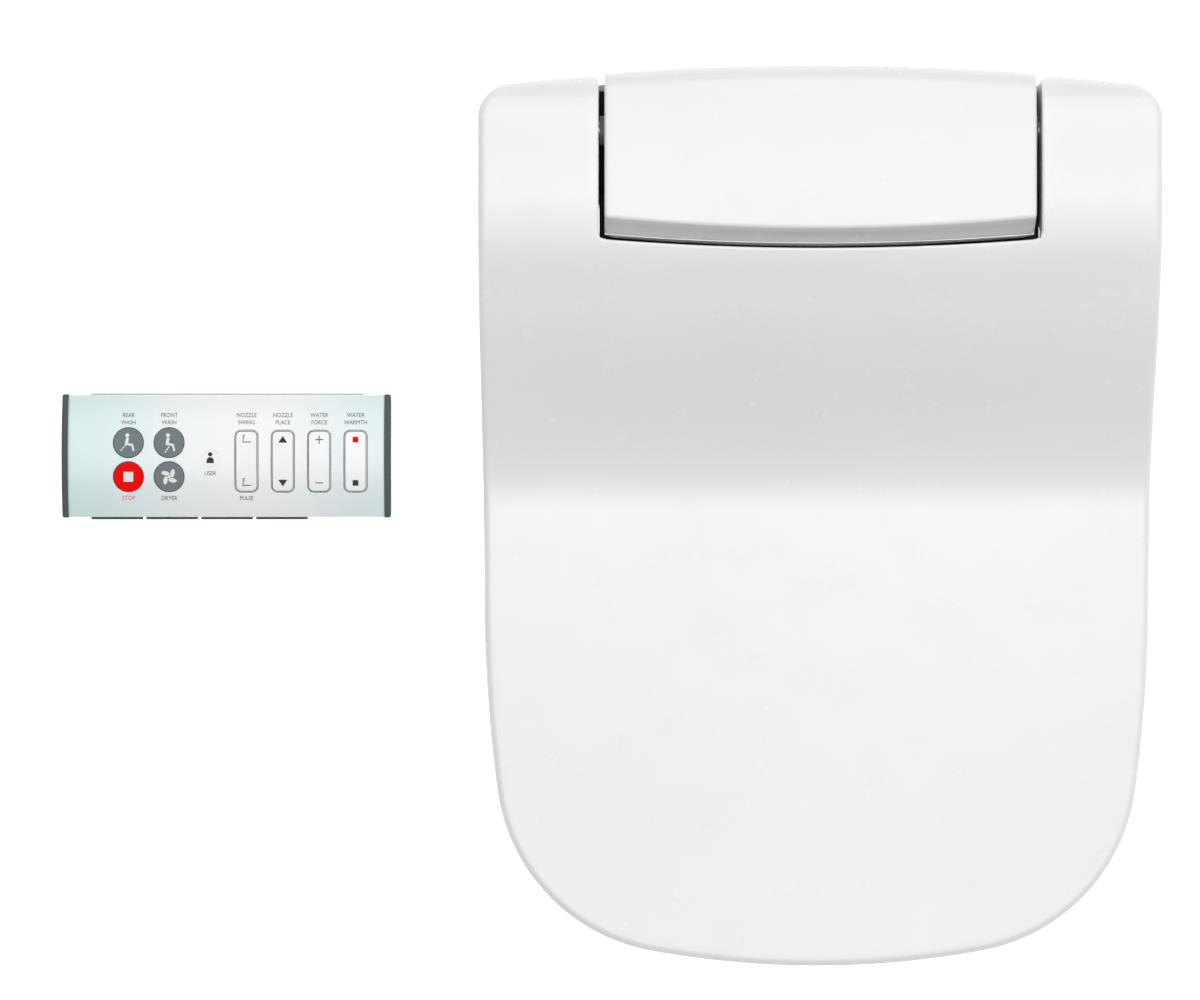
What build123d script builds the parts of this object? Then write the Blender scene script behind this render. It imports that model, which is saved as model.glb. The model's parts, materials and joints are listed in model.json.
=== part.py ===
from build123d import *
from math import acos, asin, cos, pi, radians, sin, sqrt, tan
import os

# Electric bidet seat: a fixed housing on a mounting plate, a heated seat ring and a lid that
# turn on one hinge line, two washing nozzles, a warm-air dryer and a remote control.
# Millimetres. X runs to the right of a person who faces the bowl from the front, Y to the rear
# and Z up. The origin is midway between the two fixing slots, on the plane of the bowl's rim.

# ---------------------------------------------------------------- driving dimensions
FRONT_Y = -454.0          # front tip of the lid
REAR_Y = 59.0             # rear edge on the centreline
HALF_REAR = 193.0         # half-width of the lid at its rear
FRONT_ARC_R = 527.0       # plan radius of the front edge
FRONT_ARC_END = 10.4      # degrees of that arc each side of the tip
CORNER_ARC_R = 108.5      # plan radius of the front corners
CORNER_ARC_END = 82.5     # degrees, where the corner runs into the side
SIDE_ARC_R = 855.0        # plan radius of the sides at the front half
REAR_ARC_R = 1500.0       # plan radius of the bowed rear edge
REAR_CORNER_R = 20.0
WAIST_Y = -40.0           # where the sides reach their full width
WALL = 3.0                # moulded wall of lid, seat and housing

HINGE_Y, HINGE_Z = 23.0, 92.0
PIN_R = 5.0
RUNNING = 0.05            # radial clearance of the hinge pins

LID_EAR_Z = 127.0         # top of the ears beside the housing's lip
LID_TAIL_Z = 125.0        # the ears fall to this height at the start of their rear rounding
LID_SHOULDER_Z = 118.0    # top just in front of the housing cover
LID_DECK_Z = 57.0         # rear end of the long front deck
LID_FRONT_Z = 51.0        # front edge
SLOPE_FRONT_Y, SLOPE_REAR_Y = -192.0, -40.0
EAR_RISE_Y, EAR_PEAK_Y = -75.0, -12.0
EAR_REAR_R = 20.0         # rounding of the ears' rear top edge
EAR_ARC_Y, EAR_ARC_Z = 34.0, LID_TAIL_Z - EAR_REAR_R
LID_RIM_R = 4.0           # rounding of the lid's top edge
SKIRT_Z = 30.0            # lower edge of the lid
EAR_Z = 50.0              # lower edge of the ears
EAR_STEP_Y = -19.0        # where the lower edge steps up
EAR_SWING_R = 42.0        # the ears stay inside this radius behind the hinge
EAR_INNER_X = 125.0       # inner faces of the ears
NOTCH_GAP = 3.0           # from the housing's lip to the lid
FLANGE_Z = 108.5          # lower edge of the wall around the notch
LID_PADS = ((150.0, -250.0), (105.0, -400.0))
LID_PAD_R = 8.0
EAR_WALL_Y0, EAR_WALL_Y1, EAR_WALL_Z0, EAR_WALL_Z1 = -36.0, 34.0, 80.0, 108.0
EAR_BOSS_R, EAR_BOSS_L = 11.0, 5.0

COVER_HALF = 121.7
COVER_Z0, COVER_Z1 = 107.0, 131.0
LIP_LOW_Y, LIP_TOP_Y = -41.5, -33.4      # on the centreline
LIP_BOW_LOW, LIP_BOW_TOP = 5.1, 6.2      # how far the sides stand back
COVER_ROUND_Y, COVER_ROUND_R = 48.0, 11.5

SEAT_INSET = 5.0
SEAT_TOP_Z, SEAT_SPLIT_Z, SEAT_LOW_Z = 42.0, 26.0, 8.0
SEAT_DECK_Y = -46.0       # rear edge of the seat between the arms
SEAT_SIDE_Y = -20.0       # rear edge of the seat outside the arms
ARM_X0, ARM_X1 = 131.0, 150.0
ARM_Y0, ARM_LEG_Y1 = -50.0, -24.0
ARM_Z0, ARM_Z1 = 80.0, 100.0
ARM_HUB_R, ARM_BEND_R = 13.0, 8.0
SEAT_RIM_R, HOLE_RIM_R = 3.5, 5.0
FOIL_INSET, FOIL_T = 12.0, 0.8
SEAT_PAD_R = 10.0
HOOD_GAP = 1.5            # from the seat's lower half to the nozzle hood
HOLE_HALF = 102.0         # half-width of the seat opening
HOLE_MID_Y = -225.0
HOLE_FRONT, HOLE_REAR = 160.0, 112.0
SEAT_PADS = ((150.0, -130.0), (120.0, -390.0))

TRAY_Z = 26.0
WING_INSET = 3.0
WING_FRONT_Y = -17.5
WING_Z = 48.5
WING_ARC_R = 43.5
PLATE_X, PLATE_Y, PLATE_T = 105.0, 28.0, 4.0
BOLT_SPACING = 155.0
SLOT_R, SLOT_LENGTH = 4.5, 34.0
BUSH_R = 7.0
PLATE_CORNER_R = 6.0
FLOOR_Z = 7.3             # floor of the tray over the mounting plate
BUTTON_Y0, BUTTON_Y1, BUTTON_Z0, BUTTON_Z1 = 5.0, 25.0, 8.0, 20.0
BUTTON_X0, BUTTON_X1 = 186.6, 191.4
DAMPER_X0, DAMPER_X1, DAMPER_R = 84.0, 111.0, 13.0
SCREW_PLACES = ((-182.0, -8.0), (-125.0, 40.0), (127.0, 34.0), (182.0, -8.0))

NOZZLE_ANGLE = radians(18.0)
PORT_Y, PORT_Z = -94.0, 8.5
NOZZLE_X = 11.0
NOZZLE_R = 5.5
NOZZLE_TAIL, NOZZLE_TIP = -152.0, -2.0
MODULE, TEETH = 0.8, 14
PINION_S, PITCH_V = -80.0, 6.8
PITCH_R = MODULE * TEETH / 2
PINION_V = PITCH_V + PITCH_R
RACK_WIDTH = 3.6
RACK_S0, RACK_S1 = -151.0, -74.0

HOOD_X0, HOOD_X1 = -34.0, 74.0
HOOD_Y0, HOOD_Y1 = -98.0, -41.8
HOOD_Z0, HOOD_Z1 = 2.0, 36.0
FAN_X0, FAN_X1 = 36.0, 66.0
FAN_Y, FAN_Z, FAN_R = 16.0, 52.0, 30.0
DUCT_REAR_Y, DUCT_FRONT_Y = -12.0, -93.5
DUCT_REAR_Z, DUCT_FRONT_Z, DUCT_H = 22.0, 7.0, 17.0
FLAP_X0, FLAP_X1, FLAP_Z0, FLAP_Z1 = 38.0, 64.0, 7.0, 24.5
TANK_X0, TANK_X1, TANK_Y0, TANK_Y1, TANK_Z0, TANK_Z1 = -114.0, -36.0, -30.0, 46.0, 24.0, 72.0
TANK_R, TANK_WALL = 8.0, 2.5
HOSE_R, HEATER_R = 3.0, 3.2
PRESSURE_ANGLE = radians(20)
BACKLASH = 0.06           # taken off each half tooth
BOARD_Z, BOARD_T = 104.0, 1.6
BOARD_CHIPS = ((-60, -15, 22, 22, 5), (-20, 10, 14, 14, 3), (10, -18, 30, 16, 8), (50, 15, 12, 20, 6))

SPIGOT_X, SPIGOT_Z, SPIGOT_R, SPIGOT_NECK_R = 156.0, 18.0, 10.48, 7.5
POCKET_Y, POCKET_TOP = 30.0, 34.0
GLAND_X, GLAND_Z, GLAND_BORE_R, GLAND_R = -156.0, 16.0, 3.5, 8.0
GLAND_Y0, GLAND_Y1, GLAND_FLANGE_R = 38.0, 50.0, 11.0

REMOTE_X, REMOTE_Y = -340.2, -161.2
REMOTE_L, CAP_L = 190.0, 3.6
REMOTE_HALF, REMOTE_FOOT_HALF = 35.3, 33.3
REMOTE_BEND_Z, REMOTE_SPLIT_Z, REMOTE_EDGE_Z, REMOTE_TOP_Z = 9.0, 11.0, 13.0, 21.5
REMOTE_WALL = 2.0
KEY_R = 8.6
KEY_GAP = 0.35
KEY_PROUD = 0.3
KEY_LOW_Z = 14.0
ROCKER_W, ROCKER_L, ROCKER_CORNER = 13.2, 35.7, 3.4
ROCKER_Y = -3.1
ROUND_KEYS = {
    "rear_wash_key": (-56.4, 7.6),
    "front_wash_key": (-32.9, 7.6),
    "stop_key": (-56.4, -12.1),
    "dryer_key": (-32.9, -12.1),
}
USER_KEY = (-9.1, -1.6)
USER_KEY_R = 5.0
ROCKERS = {
    "oscillation_rocker": 11.8,
    "position_rocker": 32.8,
    "pressure_rocker": 53.8,
    "temperature_rocker": 74.8,
}
EDGE_KEY_W, EDGE_KEY_PITCH, EDGE_KEY_X0 = 29.9, 31.8, -78.6
EDGE_KEY_Z0, EDGE_KEY_Z1 = 4.0, 9.5
STRIP_X0, STRIP_X1 = -78.9, 79.2
DOOR_X0, DOOR_HALF, DOOR_T = 30.0, 14.0, 1.4


# ---------------------------------------------------------------- helpers
def box(x0, x1, y0, y1, z0, z1):
    centre = Pos((x0 + x1) / 2, (y0 + y1) / 2, (z0 + z1) / 2)
    return centre * Box(x1 - x0, y1 - y0, z1 - z0)


def block(x0, x1, y0, y1, z0, z1, radius):
    """Box with rounded upright edges."""
    return slab(Pos((x0 + x1) / 2, (y0 + y1) / 2) * RectangleRounded(x1 - x0, y1 - y0, radius), z0, z1)


def rod(start, end, radius):
    """Round bar from one point to another."""
    start, end = Vector(*start), Vector(*end)
    bottom = (Align.CENTER, Align.CENTER, Align.MIN)
    return Plane(origin=start, z_dir=end - start) * Cylinder(radius, (end - start).length, align=bottom)


def rod_x(x0, x1, y, z, radius):
    return rod((x0, y, z), (x1, y, z), radius)


def rod_y(x, y0, y1, z, radius):
    return rod((x, y0, z), (x, y1, z), radius)


def rod_z(x, y, z0, z1, radius):
    return rod((x, y, z0), (x, y, z1), radius)


def yz_prism(x0, x1, face):
    """Carry a face drawn in Y and Z along X."""
    return extrude(Plane.YZ.offset(x0) * face, amount=x1 - x0, dir=(1, 0, 0))


def polygon(points):
    return make_face(Polyline(*points, close=True))


def slab(face, z0, z1):
    """Carry a face drawn in X and Y upwards."""
    return extrude(Pos(0, 0, z0) * face, amount=z1 - z0, dir=(0, 0, 1))


def both(shape):
    """The shape and its mirror image across the centreline."""
    return shape + mirror(shape, Plane.YZ)


def smooth(t):
    """Smooth step from 0 to 1."""
    t = min(1.0, max(0.0, t))
    return t * t * (3 - 2 * t)


def save(name, shape):
    solids = shape.solids() if hasattr(shape, "solids") else [shape]
    export_step(Compound(children=list(solids)) if len(solids) > 1 else solids[0], f"parts/{name}.step")


# ---------------------------------------------------------------- plan outlines
def rear_y(x, inset=0.0):
    """Bowed rear edge of the whole product."""
    return REAR_Y - inset - (REAR_ARC_R - sqrt(REAR_ARC_R ** 2 - x * x))


def plan(inset=0.0):
    """Plan of the closed lid, moved inwards by an inset: tangent arcs, one side mirrored."""
    a, b = radians(FRONT_ARC_END), radians(CORNER_ARC_END)
    front = Vector(0, FRONT_Y + FRONT_ARC_R)
    corner = front + Vector(sin(a), -cos(a)) * (FRONT_ARC_R - CORNER_ARC_R)
    side = corner + Vector(sin(b), -cos(b)) * (CORNER_ARC_R - SIDE_ARC_R)

    def arc(centre, radius, start, end):
        stops = [start, (start + end) / 2, end]
        return ThreePointArc(*[centre + Vector(sin(t), -cos(t)) * (radius - inset) for t in stops])

    half = HALF_REAR - inset
    edges = [arc(front, FRONT_ARC_R, 0, a), arc(corner, CORNER_ARC_R, a, b), arc(side, SIDE_ARC_R, b, pi / 2)]
    flank = Spline(edges[-1] @ 1, (half, WAIST_Y), tangents=[(0, 1, 0), (0, 1, 0)])
    rear = [(x, rear_y(x, inset)) for x in (half, half / 2, 0)]
    edges += [flank, Line((half, WAIST_Y), rear[0]), ThreePointArc(*rear)]
    face = make_face(edges + [mirror(e, Plane.YZ) for e in edges])
    corners = [v for v in face.vertices() if abs(abs(v.X) - half) < 0.01 and v.Y > 0]
    return fillet(corners, REAR_CORNER_R - inset)


def bowed(half, front_y, front_bow, inset=0.0, rear_inset=0.0):
    """Plan of the middle housing: straight sides, bowed front edge and bowed rear edge."""
    x = half - inset
    y0 = front_y + inset
    front = ThreePointArc((-x, y0 + front_bow), (0, y0), (x, y0 + front_bow))
    back_inset = inset + rear_inset
    rear = ThreePointArc((x, rear_y(x, back_inset)), (0, rear_y(0, back_inset)), (-x, rear_y(x, back_inset)))
    return make_face([front, Line(front @ 1, rear @ 0), rear, Line(rear @ 1, front @ 0)])


def hole_plan(grow=0.0):
    """Egg-shaped opening of the seat: two half ellipses that share their width."""
    a = HOLE_HALF + grow
    whole = Ellipse(a, HOLE_FRONT + grow) & Pos(0, -300) * Rectangle(600, 600)
    rear = Ellipse(a, HOLE_REAR + grow) & Pos(0, 300) * Rectangle(600, 600)
    return Pos(0, HOLE_MID_Y) * (whole + rear)


# ---------------------------------------------------------------- lid
def lid_top(y):
    """Height of the lid along its length: a gently falling deck, one long slope, high ears, low tail."""
    deck = (LID_DECK_Z - LID_FRONT_Z) * smooth((y - FRONT_Y) / (SLOPE_FRONT_Y - FRONT_Y))
    slope_length = SLOPE_REAR_Y - SLOPE_FRONT_Y
    slope = (LID_SHOULDER_Z - LID_DECK_Z) * smooth((y - SLOPE_FRONT_Y) / slope_length)
    ears = (LID_EAR_Z - LID_SHOULDER_Z) * smooth((y - EAR_RISE_Y) / (EAR_PEAK_Y - EAR_RISE_Y))
    tail = (LID_EAR_Z - LID_TAIL_Z) * smooth((y - EAR_PEAK_Y) / (EAR_ARC_Y - EAR_PEAK_Y))
    return LID_FRONT_Z + deck + slope + ears - tail


def lid_outside_z(y):
    """Height of the lid's outside, with the rounding of the ears' rear edge."""
    if y <= EAR_ARC_Y:
        return lid_top(y)
    reach = min(EAR_REAR_R, y - EAR_ARC_Y)
    return EAR_ARC_Z + sqrt(EAR_REAR_R ** 2 - reach ** 2)


def lid_crown(inset):
    """The lid's upper line in side view, as a spline and the arc that rounds its rear end."""
    stations = [FRONT_Y - 2.0, -380, -300, -220, SLOPE_FRONT_Y, -160, -116, EAR_RISE_Y, SLOPE_REAR_Y,
                EAR_PEAK_Y, 10, EAR_ARC_Y]
    top = Spline([(y, lid_top(y) - inset) for y in stations], tangents=[(1, 0), (1, 0)])
    radius = EAR_REAR_R - inset
    corner = [(EAR_ARC_Y + radius * sin(t), EAR_ARC_Z + radius * cos(t)) for t in (0, pi / 4, pi / 2)]
    return top, ThreePointArc(*corner)


def lid_profile():
    """Side view of the lid's outside, closed below by its stepped lower edge."""
    top, corner = lid_crown(0.0)
    rear = EAR_ARC_Y + EAR_REAR_R
    turn = asin((rear - HINGE_Y) / EAR_SWING_R)
    swing = [(HINGE_Y + EAR_SWING_R * sin(t), HINGE_Z - EAR_SWING_R * cos(t)) for t in (turn, turn / 2, 0)]
    lower = [swing[2], (EAR_STEP_Y, EAR_Z), (EAR_STEP_Y, SKIRT_Z), (FRONT_Y - 2.0, SKIRT_Z), top @ 0]
    return make_face([top, corner, Line(corner @ 1, swing[0]), ThreePointArc(*swing), Polyline(*lower)])


def lid_hollow_profile():
    """Side view of the lid's inside, open below."""
    top, corner = lid_crown(WALL)
    lower = [corner @ 1, ((corner @ 1).X, 0), (FRONT_Y - 2.0, 0), top @ 0]
    return make_face([top, corner, Polyline(*lower)])


def is_rim(edge):
    """True for an edge of the lid's top surface that follows the plan outline."""
    points = [edge @ t for t in (0.1, 0.5, 0.9)]
    on_top = all(abs(p.Z - lid_outside_z(p.Y)) < 0.6 for p in points)
    across = all(abs(p.Y - points[0].Y) < 0.01 for p in points) and points[0].Y > FRONT_Y + 5
    return on_top and not across


def notch(grow):
    """Space in the lid for the fixed housing cover."""
    face = bowed(EAR_INNER_X, LIP_LOW_Y - NOTCH_GAP, LIP_BOW_LOW, inset=-grow)
    return slab(face + Pos(0, 60) * Rectangle(2 * (EAR_INNER_X + grow), 60), 20, 140)


def lid_hollow():
    return slab(plan(WALL), 0, 140) & yz_prism(-200, 200, lid_hollow_profile())


def lid_shell():
    outer = slab(plan(), 0, 140) & yz_prism(-200, 200, lid_profile())
    outer = fillet([e for e in outer.edges() if is_rim(e)], LID_RIM_R)
    shell = outer - notch(0) - (lid_hollow() - notch(WALL))
    shell -= box(-EAR_INNER_X - WALL, EAR_INNER_X + WALL, -60, 10, 20, FLANGE_Z) & notch(WALL + 1)
    inner_wall = box(EAR_INNER_X, EAR_INNER_X + WALL, EAR_WALL_Y0, EAR_WALL_Y1, EAR_WALL_Z0, EAR_WALL_Z1)
    boss = rod_x(EAR_INNER_X, EAR_INNER_X + EAR_BOSS_L, HINGE_Y, HINGE_Z, EAR_BOSS_R)
    shell += both(inner_wall + boss)
    return shell - both(rod_x(120, 135, HINGE_Y, HINGE_Z, PIN_R + RUNNING))


def lid_bumpers():
    """Four rubber pads between the closed lid and the seat."""
    pads = [rod_z(sx * x, y, SEAT_TOP_Z + 0.2, 62, LID_PAD_R) for x, y in LID_PADS for sx in (-1, 1)]
    return Compound(children=[(pad & lid_hollow()).solids()[0] for pad in pads])


# ---------------------------------------------------------------- seat
def seat_plan(inset=0.0):
    """Plan of the seat ring, with every edge moved inwards by an inset."""
    arm_side = ARM_X0 - 1 + inset
    rear = Pos(0, SEAT_SIDE_Y - inset + 100) * Rectangle(500, 200)
    deck = Pos(0, SEAT_DECK_Y - inset + 100) * Rectangle(2 * arm_side, 200)
    return plan(SEAT_INSET + inset) - rear - deck - hole_plan(inset)


def hood_gap(grow=0.0):
    """Plan of the space that the nozzle hood takes out of the seat's lower half."""
    x0, x1 = HOOD_X0 - HOOD_GAP - grow, HOOD_X1 + HOOD_GAP + grow
    return Pos((x0 + x1) / 2, -80) * Rectangle(x1 - x0, 160)


def seat_top():
    outer = slab(seat_plan(), SEAT_SPLIT_Z, SEAT_TOP_Z)
    outer = fillet(outer.faces().sort_by(Axis.Z)[-1].outer_wire().edges(), SEAT_RIM_R)
    hole_edges = [e for e in outer.edges() if abs(e.center().Z - SEAT_TOP_Z) < 0.01
                  and abs(e.center().X) < HOLE_HALF + 1 and -390 < e.center().Y < -100]
    outer = fillet(hole_edges, HOLE_RIM_R)
    shell = outer - slab(seat_plan(WALL), SEAT_SPLIT_Z - 1, SEAT_TOP_Z - WALL)
    shell -= box(HOOD_X0 - HOOD_GAP, HOOD_X1 + HOOD_GAP, HOOD_Y0 - 2, 0, SEAT_SPLIT_Z - 1, SEAT_TOP_Z - WALL)
    beam = box(ARM_X0, ARM_X1, ARM_Y0, HINGE_Y, ARM_Z0, ARM_Z1)
    leg = box(ARM_X0, ARM_X1, ARM_Y0, ARM_LEG_Y1, SEAT_TOP_Z - WALL, ARM_Z1)
    arm = beam + leg + rod_x(ARM_X0, ARM_X1, HINGE_Y, HINGE_Z, ARM_HUB_R)
    bend = [e for e in arm.edges().filter_by(Axis.X) if e.center().Y < ARM_Y0 + 1 and e.center().Z > ARM_Z1 - 10]
    arm = fillet(bend, ARM_BEND_R)
    shell += both(arm)
    return shell - both(rod_x(120, 155, HINGE_Y, HINGE_Z, PIN_R + RUNNING))


def seat_base():
    """Lower half of the seat ring: a pan, with the nozzle hood's space taken out."""
    outer = slab(seat_plan() - hood_gap(), SEAT_LOW_Z, SEAT_SPLIT_Z)
    inner = slab(seat_plan(WALL) - hood_gap(WALL), SEAT_LOW_Z + WALL, SEAT_SPLIT_Z + 1)
    return outer - inner


def seat_heater():
    """Heating foil under the sitting surface."""
    return slab(seat_plan(FOIL_INSET), SEAT_TOP_Z - WALL - FOIL_T, SEAT_TOP_Z - WALL)


def seat_bumpers():
    pads = [rod_z(sx * x, y, 0, SEAT_LOW_Z, SEAT_PAD_R) for x, y in SEAT_PADS for sx in (-1, 1)]
    return Compound(children=pads)


# ---------------------------------------------------------------- housing
def middle_plan(inset=0.0):
    return bowed(COVER_HALF - 0.2, LIP_LOW_Y, LIP_BOW_LOW, inset)


def wing_plan(inset=0.0):
    front = Pos(0, WING_FRONT_Y + inset - 300) * Rectangle(500, 600)
    return plan(WING_INSET + inset) - front


def base_plan(inset=0.0):
    rear_trim = Pos(0, 200) * Rectangle(2 * (COVER_HALF - 0.2 - inset), 500)
    return middle_plan(inset) + (wing_plan(inset) - rear_trim)


def swing_space(grow=0.0):
    """Space beside the middle housing that the lid's ears and the seat's arms swing through."""
    radius = WING_ARC_R + grow
    top = WING_Z - grow
    rear_z = HINGE_Z - sqrt(WING_ARC_R ** 2 - 30 ** 2) - grow
    block = Pos((HINGE_Y - 80) / 2, (top + 140) / 2) * Rectangle(HINGE_Y + 80, 140 - top)
    behind = Pos(HINGE_Y + 30, (rear_z + 140) / 2) * Rectangle(60, 140 - rear_z)
    face = block + behind + Pos(HINGE_Y, HINGE_Z) * Circle(radius)
    return both(yz_prism(COVER_HALF - 0.2 - grow, 220, face))


def pocket(grow=0.0):
    """Rear pocket in the right wing, where the supply hose screws on."""
    return box(SPIGOT_X - 20 - grow, SPIGOT_X + 20 + grow, POCKET_Y - grow, 70, -1, POCKET_TOP + grow)


def button_window(grow=0.0):
    return box(180, 195, BUTTON_Y0 - grow, BUTTON_Y1 + grow, BUTTON_Z0 - grow, BUTTON_Z1 + grow)


def base_tray():
    tray = slab(base_plan(), 0, TRAY_Z) - slab(base_plan(WALL), WALL, TRAY_Z + 1)
    tray += box(-PLATE_X - 4, PLATE_X + 4, -PLATE_Y - 4, PLATE_Y + 4, 0, FLOOR_Z)
    tray += pocket(2) & slab(base_plan(), 0, TRAY_Z)
    tray -= box(-PLATE_X - 0.6, PLATE_X + 0.6, -PLATE_Y - 0.6, PLATE_Y + 0.6, -1, PLATE_T + 0.3)
    for side in (-1, 1):
        x = side * BOLT_SPACING / 2
        tray -= box(x - 20, x + 20, -9, 9, 0, 10)
    tray -= pocket()
    tray -= rod_y(SPIGOT_X, POCKET_Y - 5, POCKET_Y + 1, SPIGOT_Z, SPIGOT_NECK_R)
    tray -= rod_y(GLAND_X, GLAND_Y0, 60, GLAND_Z, GLAND_R)
    tray -= button_window(0.3)
    return tray - front_opening()


def front_opening():
    """Way through the front wall for the nozzles and the air duct."""
    return box(HOOD_X0 + 2, HOOD_X1 - 2, -60, -30, WALL, 44)


def housing_body():
    outer = slab(base_plan(), TRAY_Z, COVER_Z0) - swing_space()
    inner = slab(base_plan(WALL), TRAY_Z - 1, COVER_Z0 + 1) - swing_space(WALL)
    body = outer - inner
    body += (pocket(2) & slab(base_plan(), TRAY_Z, 60)) - pocket()
    bush = rod_x(110, 126, HINGE_Y, HINGE_Z, BUSH_R)
    body = body - pocket() - both(bush) - front_opening()
    for x, y in SCREW_PLACES:
        body += (rod_z(x, y, TRAY_Z, 60, 3.5) & outer) - rod_z(x, y, TRAY_Z - 1, 40, 1.6)
    return body


def cover_solid(inset, z0, z1):
    """Housing cover's outer or inner form: its front lip leans back towards the top."""
    low = bowed(COVER_HALF, LIP_LOW_Y, LIP_BOW_LOW, inset)
    high = bowed(COVER_HALF, LIP_TOP_Y, LIP_BOW_TOP, inset)
    form = loft([Pos(0, 0, z0) * low, Pos(0, 0, COVER_Z1) * high], ruled=True)
    top = z1 - inset
    dome = ThreePointArc((-60, top - 2.2), (-12, top), (COVER_ROUND_Y, top - 2.6))
    centre_z = top - 2.6 - COVER_ROUND_R
    turn = [(COVER_ROUND_Y + COVER_ROUND_R * sin(t), centre_z + COVER_ROUND_R * cos(t)) for t in (0.1, 0.8, 1.5)]
    lower = Polyline(turn[2], (turn[2][0], z0), (-60, z0), dome @ 0)
    side = make_face([dome, Line(dome @ 1, turn[0]), ThreePointArc(*turn), lower])
    return form & yz_prism(-150, 150, side)


def housing_cover():
    outer = cover_solid(0.0, COVER_Z0, COVER_Z1)
    inner = cover_solid(2.5, COVER_Z0, COVER_Z1)
    cover = outer - inner
    for sx in (-1, 1):
        for y, top in ((-20, COVER_Z1 - 1.5), (40, COVER_Z1 - 3)):
            cover += rod_z(sx * 68, y, BOARD_Z + BOARD_T, top, 3)
    return cover


def nozzle_hood():
    """Shroud over the nozzles and the air duct, with a port for each of them in its front."""
    hood = box(HOOD_X0, HOOD_X1, HOOD_Y0, HOOD_Y1, HOOD_Z0, HOOD_Z1)
    top_front = hood.edges().filter_by(Axis.X).filter_by(lambda e: e.center().Y < -90 and e.center().Z > 30)
    hood = fillet(top_front, 6)
    hood -= box(HOOD_X0 + 2, HOOD_X1 - 2, HOOD_Y0 + 2, HOOD_Y1 + 1, HOOD_Z0 + 2, HOOD_Z1 - 2)
    for x in (-NOZZLE_X, NOZZLE_X):
        hood -= rod(along(-14, 0, x), along(20, 0, x), NOZZLE_R + 0.8)
    return hood - box(FLAP_X0 - 0.4, FLAP_X1 + 0.4, HOOD_Y0 - 1, HOOD_Y0 + 3, FLAP_Z0 - 0.4, FLAP_Z1 + 0.8)


def mounting_plate():
    plate = box(-PLATE_X, PLATE_X, -PLATE_Y, PLATE_Y, 0, PLATE_T)
    plate = fillet(plate.edges().filter_by(Axis.Z), PLATE_CORNER_R)
    for side in (-1, 1):
        slot = SlotOverall(SLOT_LENGTH, 2 * SLOT_R)
        plate -= slab(Pos(side * BOLT_SPACING / 2, 0) * slot, -1, PLATE_T + 1)
    return plate


def hinge_bushes():
    """Flanged bushes in the housing's side walls; their flanges fill part of the gap to the ears."""
    bush = rod_x(114, COVER_HALF - 0.2, HINGE_Y, HINGE_Z, BUSH_R)
    flange = rod_x(COVER_HALF - 0.2, 124.4, HINGE_Y, HINGE_Z, 8.5)
    return both(bush + flange - rod_x(100, 130, HINGE_Y, HINGE_Z, PIN_R))


def hinge_pins():
    pin = rod_x(100, 152, HINGE_Y, HINGE_Z, PIN_R)
    return both(chamfer(pin.edges().filter_by(GeomType.CIRCLE), 0.6))


def damper(side):
    """Rotary damper that lets the lid or the seat down slowly."""
    barrel = rod_x(DAMPER_X0, DAMPER_X1, HINGE_Y, HINGE_Z, DAMPER_R)
    ears = box(DAMPER_X0 + 6, DAMPER_X0 + 12, HINGE_Y - 17, HINGE_Y + 17, HINGE_Z - 4, HINGE_Z + 4)
    unit = barrel + ears - rod_x(99, 120, HINGE_Y, HINGE_Z, PIN_R)
    return unit if side > 0 else mirror(unit, Plane.YZ)


def release_button():
    """Side button that lets the housing slide off its mounting plate."""
    cap = box(BUTTON_X0, BUTTON_X1, BUTTON_Y0, BUTTON_Y1, BUTTON_Z0, BUTTON_Z1)
    cap = fillet(cap.edges().filter_by(Axis.X), 3)
    return cap + box(BUTTON_X0 - 3, BUTTON_X0, BUTTON_Y0 - 2, BUTTON_Y1 + 2, BUTTON_Z0 - 2, BUTTON_Z1 + 2)


def housing_screws():
    screws = []
    for x, y in SCREW_PLACES:
        screw = rod_z(x, y, WALL + 0.2, 38, 1.5) + rod_z(x, y, WALL, WALL + 2.4, 3.2)
        screws.append(screw)
    return Compound(children=screws)


# ---------------------------------------------------------------- water
def water_inlet():
    """Brass spigot with a half-inch thread in the rear pocket."""
    body = rod_y(SPIGOT_X, POCKET_Y, POCKET_Y + 16, SPIGOT_Z, SPIGOT_R)
    body = chamfer(body.faces().sort_by(Axis.Y)[-1].edges(), 0.8)
    body += rod_y(SPIGOT_X, POCKET_Y - 2, POCKET_Y, SPIGOT_Z, SPIGOT_NECK_R)
    body += rod_y(SPIGOT_X, POCKET_Y - 7, POCKET_Y - 2, SPIGOT_Z, 12)
    return body - rod_y(SPIGOT_X, POCKET_Y - 20, POCKET_Y + 20, SPIGOT_Z, 5)


def inlet_valve():
    """Shut-off valve with its solenoid, behind the spigot."""
    body = block(140, 172, -8, POCKET_Y - 7, 6, 30, 2)
    return body + rod_z(156, 6, 30, 43, 10)


def heater_tank():
    shell = block(TANK_X0, TANK_X1, TANK_Y0, TANK_Y1, TANK_Z0, TANK_Z1, TANK_R)
    wall = TANK_WALL
    shell -= block(TANK_X0 + wall, TANK_X1 - wall, TANK_Y0 + wall, TANK_Y1 - wall, TANK_Z0 + wall, TANK_Z1 - wall,
                   TANK_R - wall)
    for x in (-106, -44):
        for y in (-24, 26):
            shell += rod_z(x, y, FLOOR_Z, TANK_Z0 + 2, 4)
    for x in (-95, -75):
        shell += rod_z(x, 8, 71, 78, 4) - rod_z(x, 8, 60, 80, 2.5)
    return shell


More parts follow.
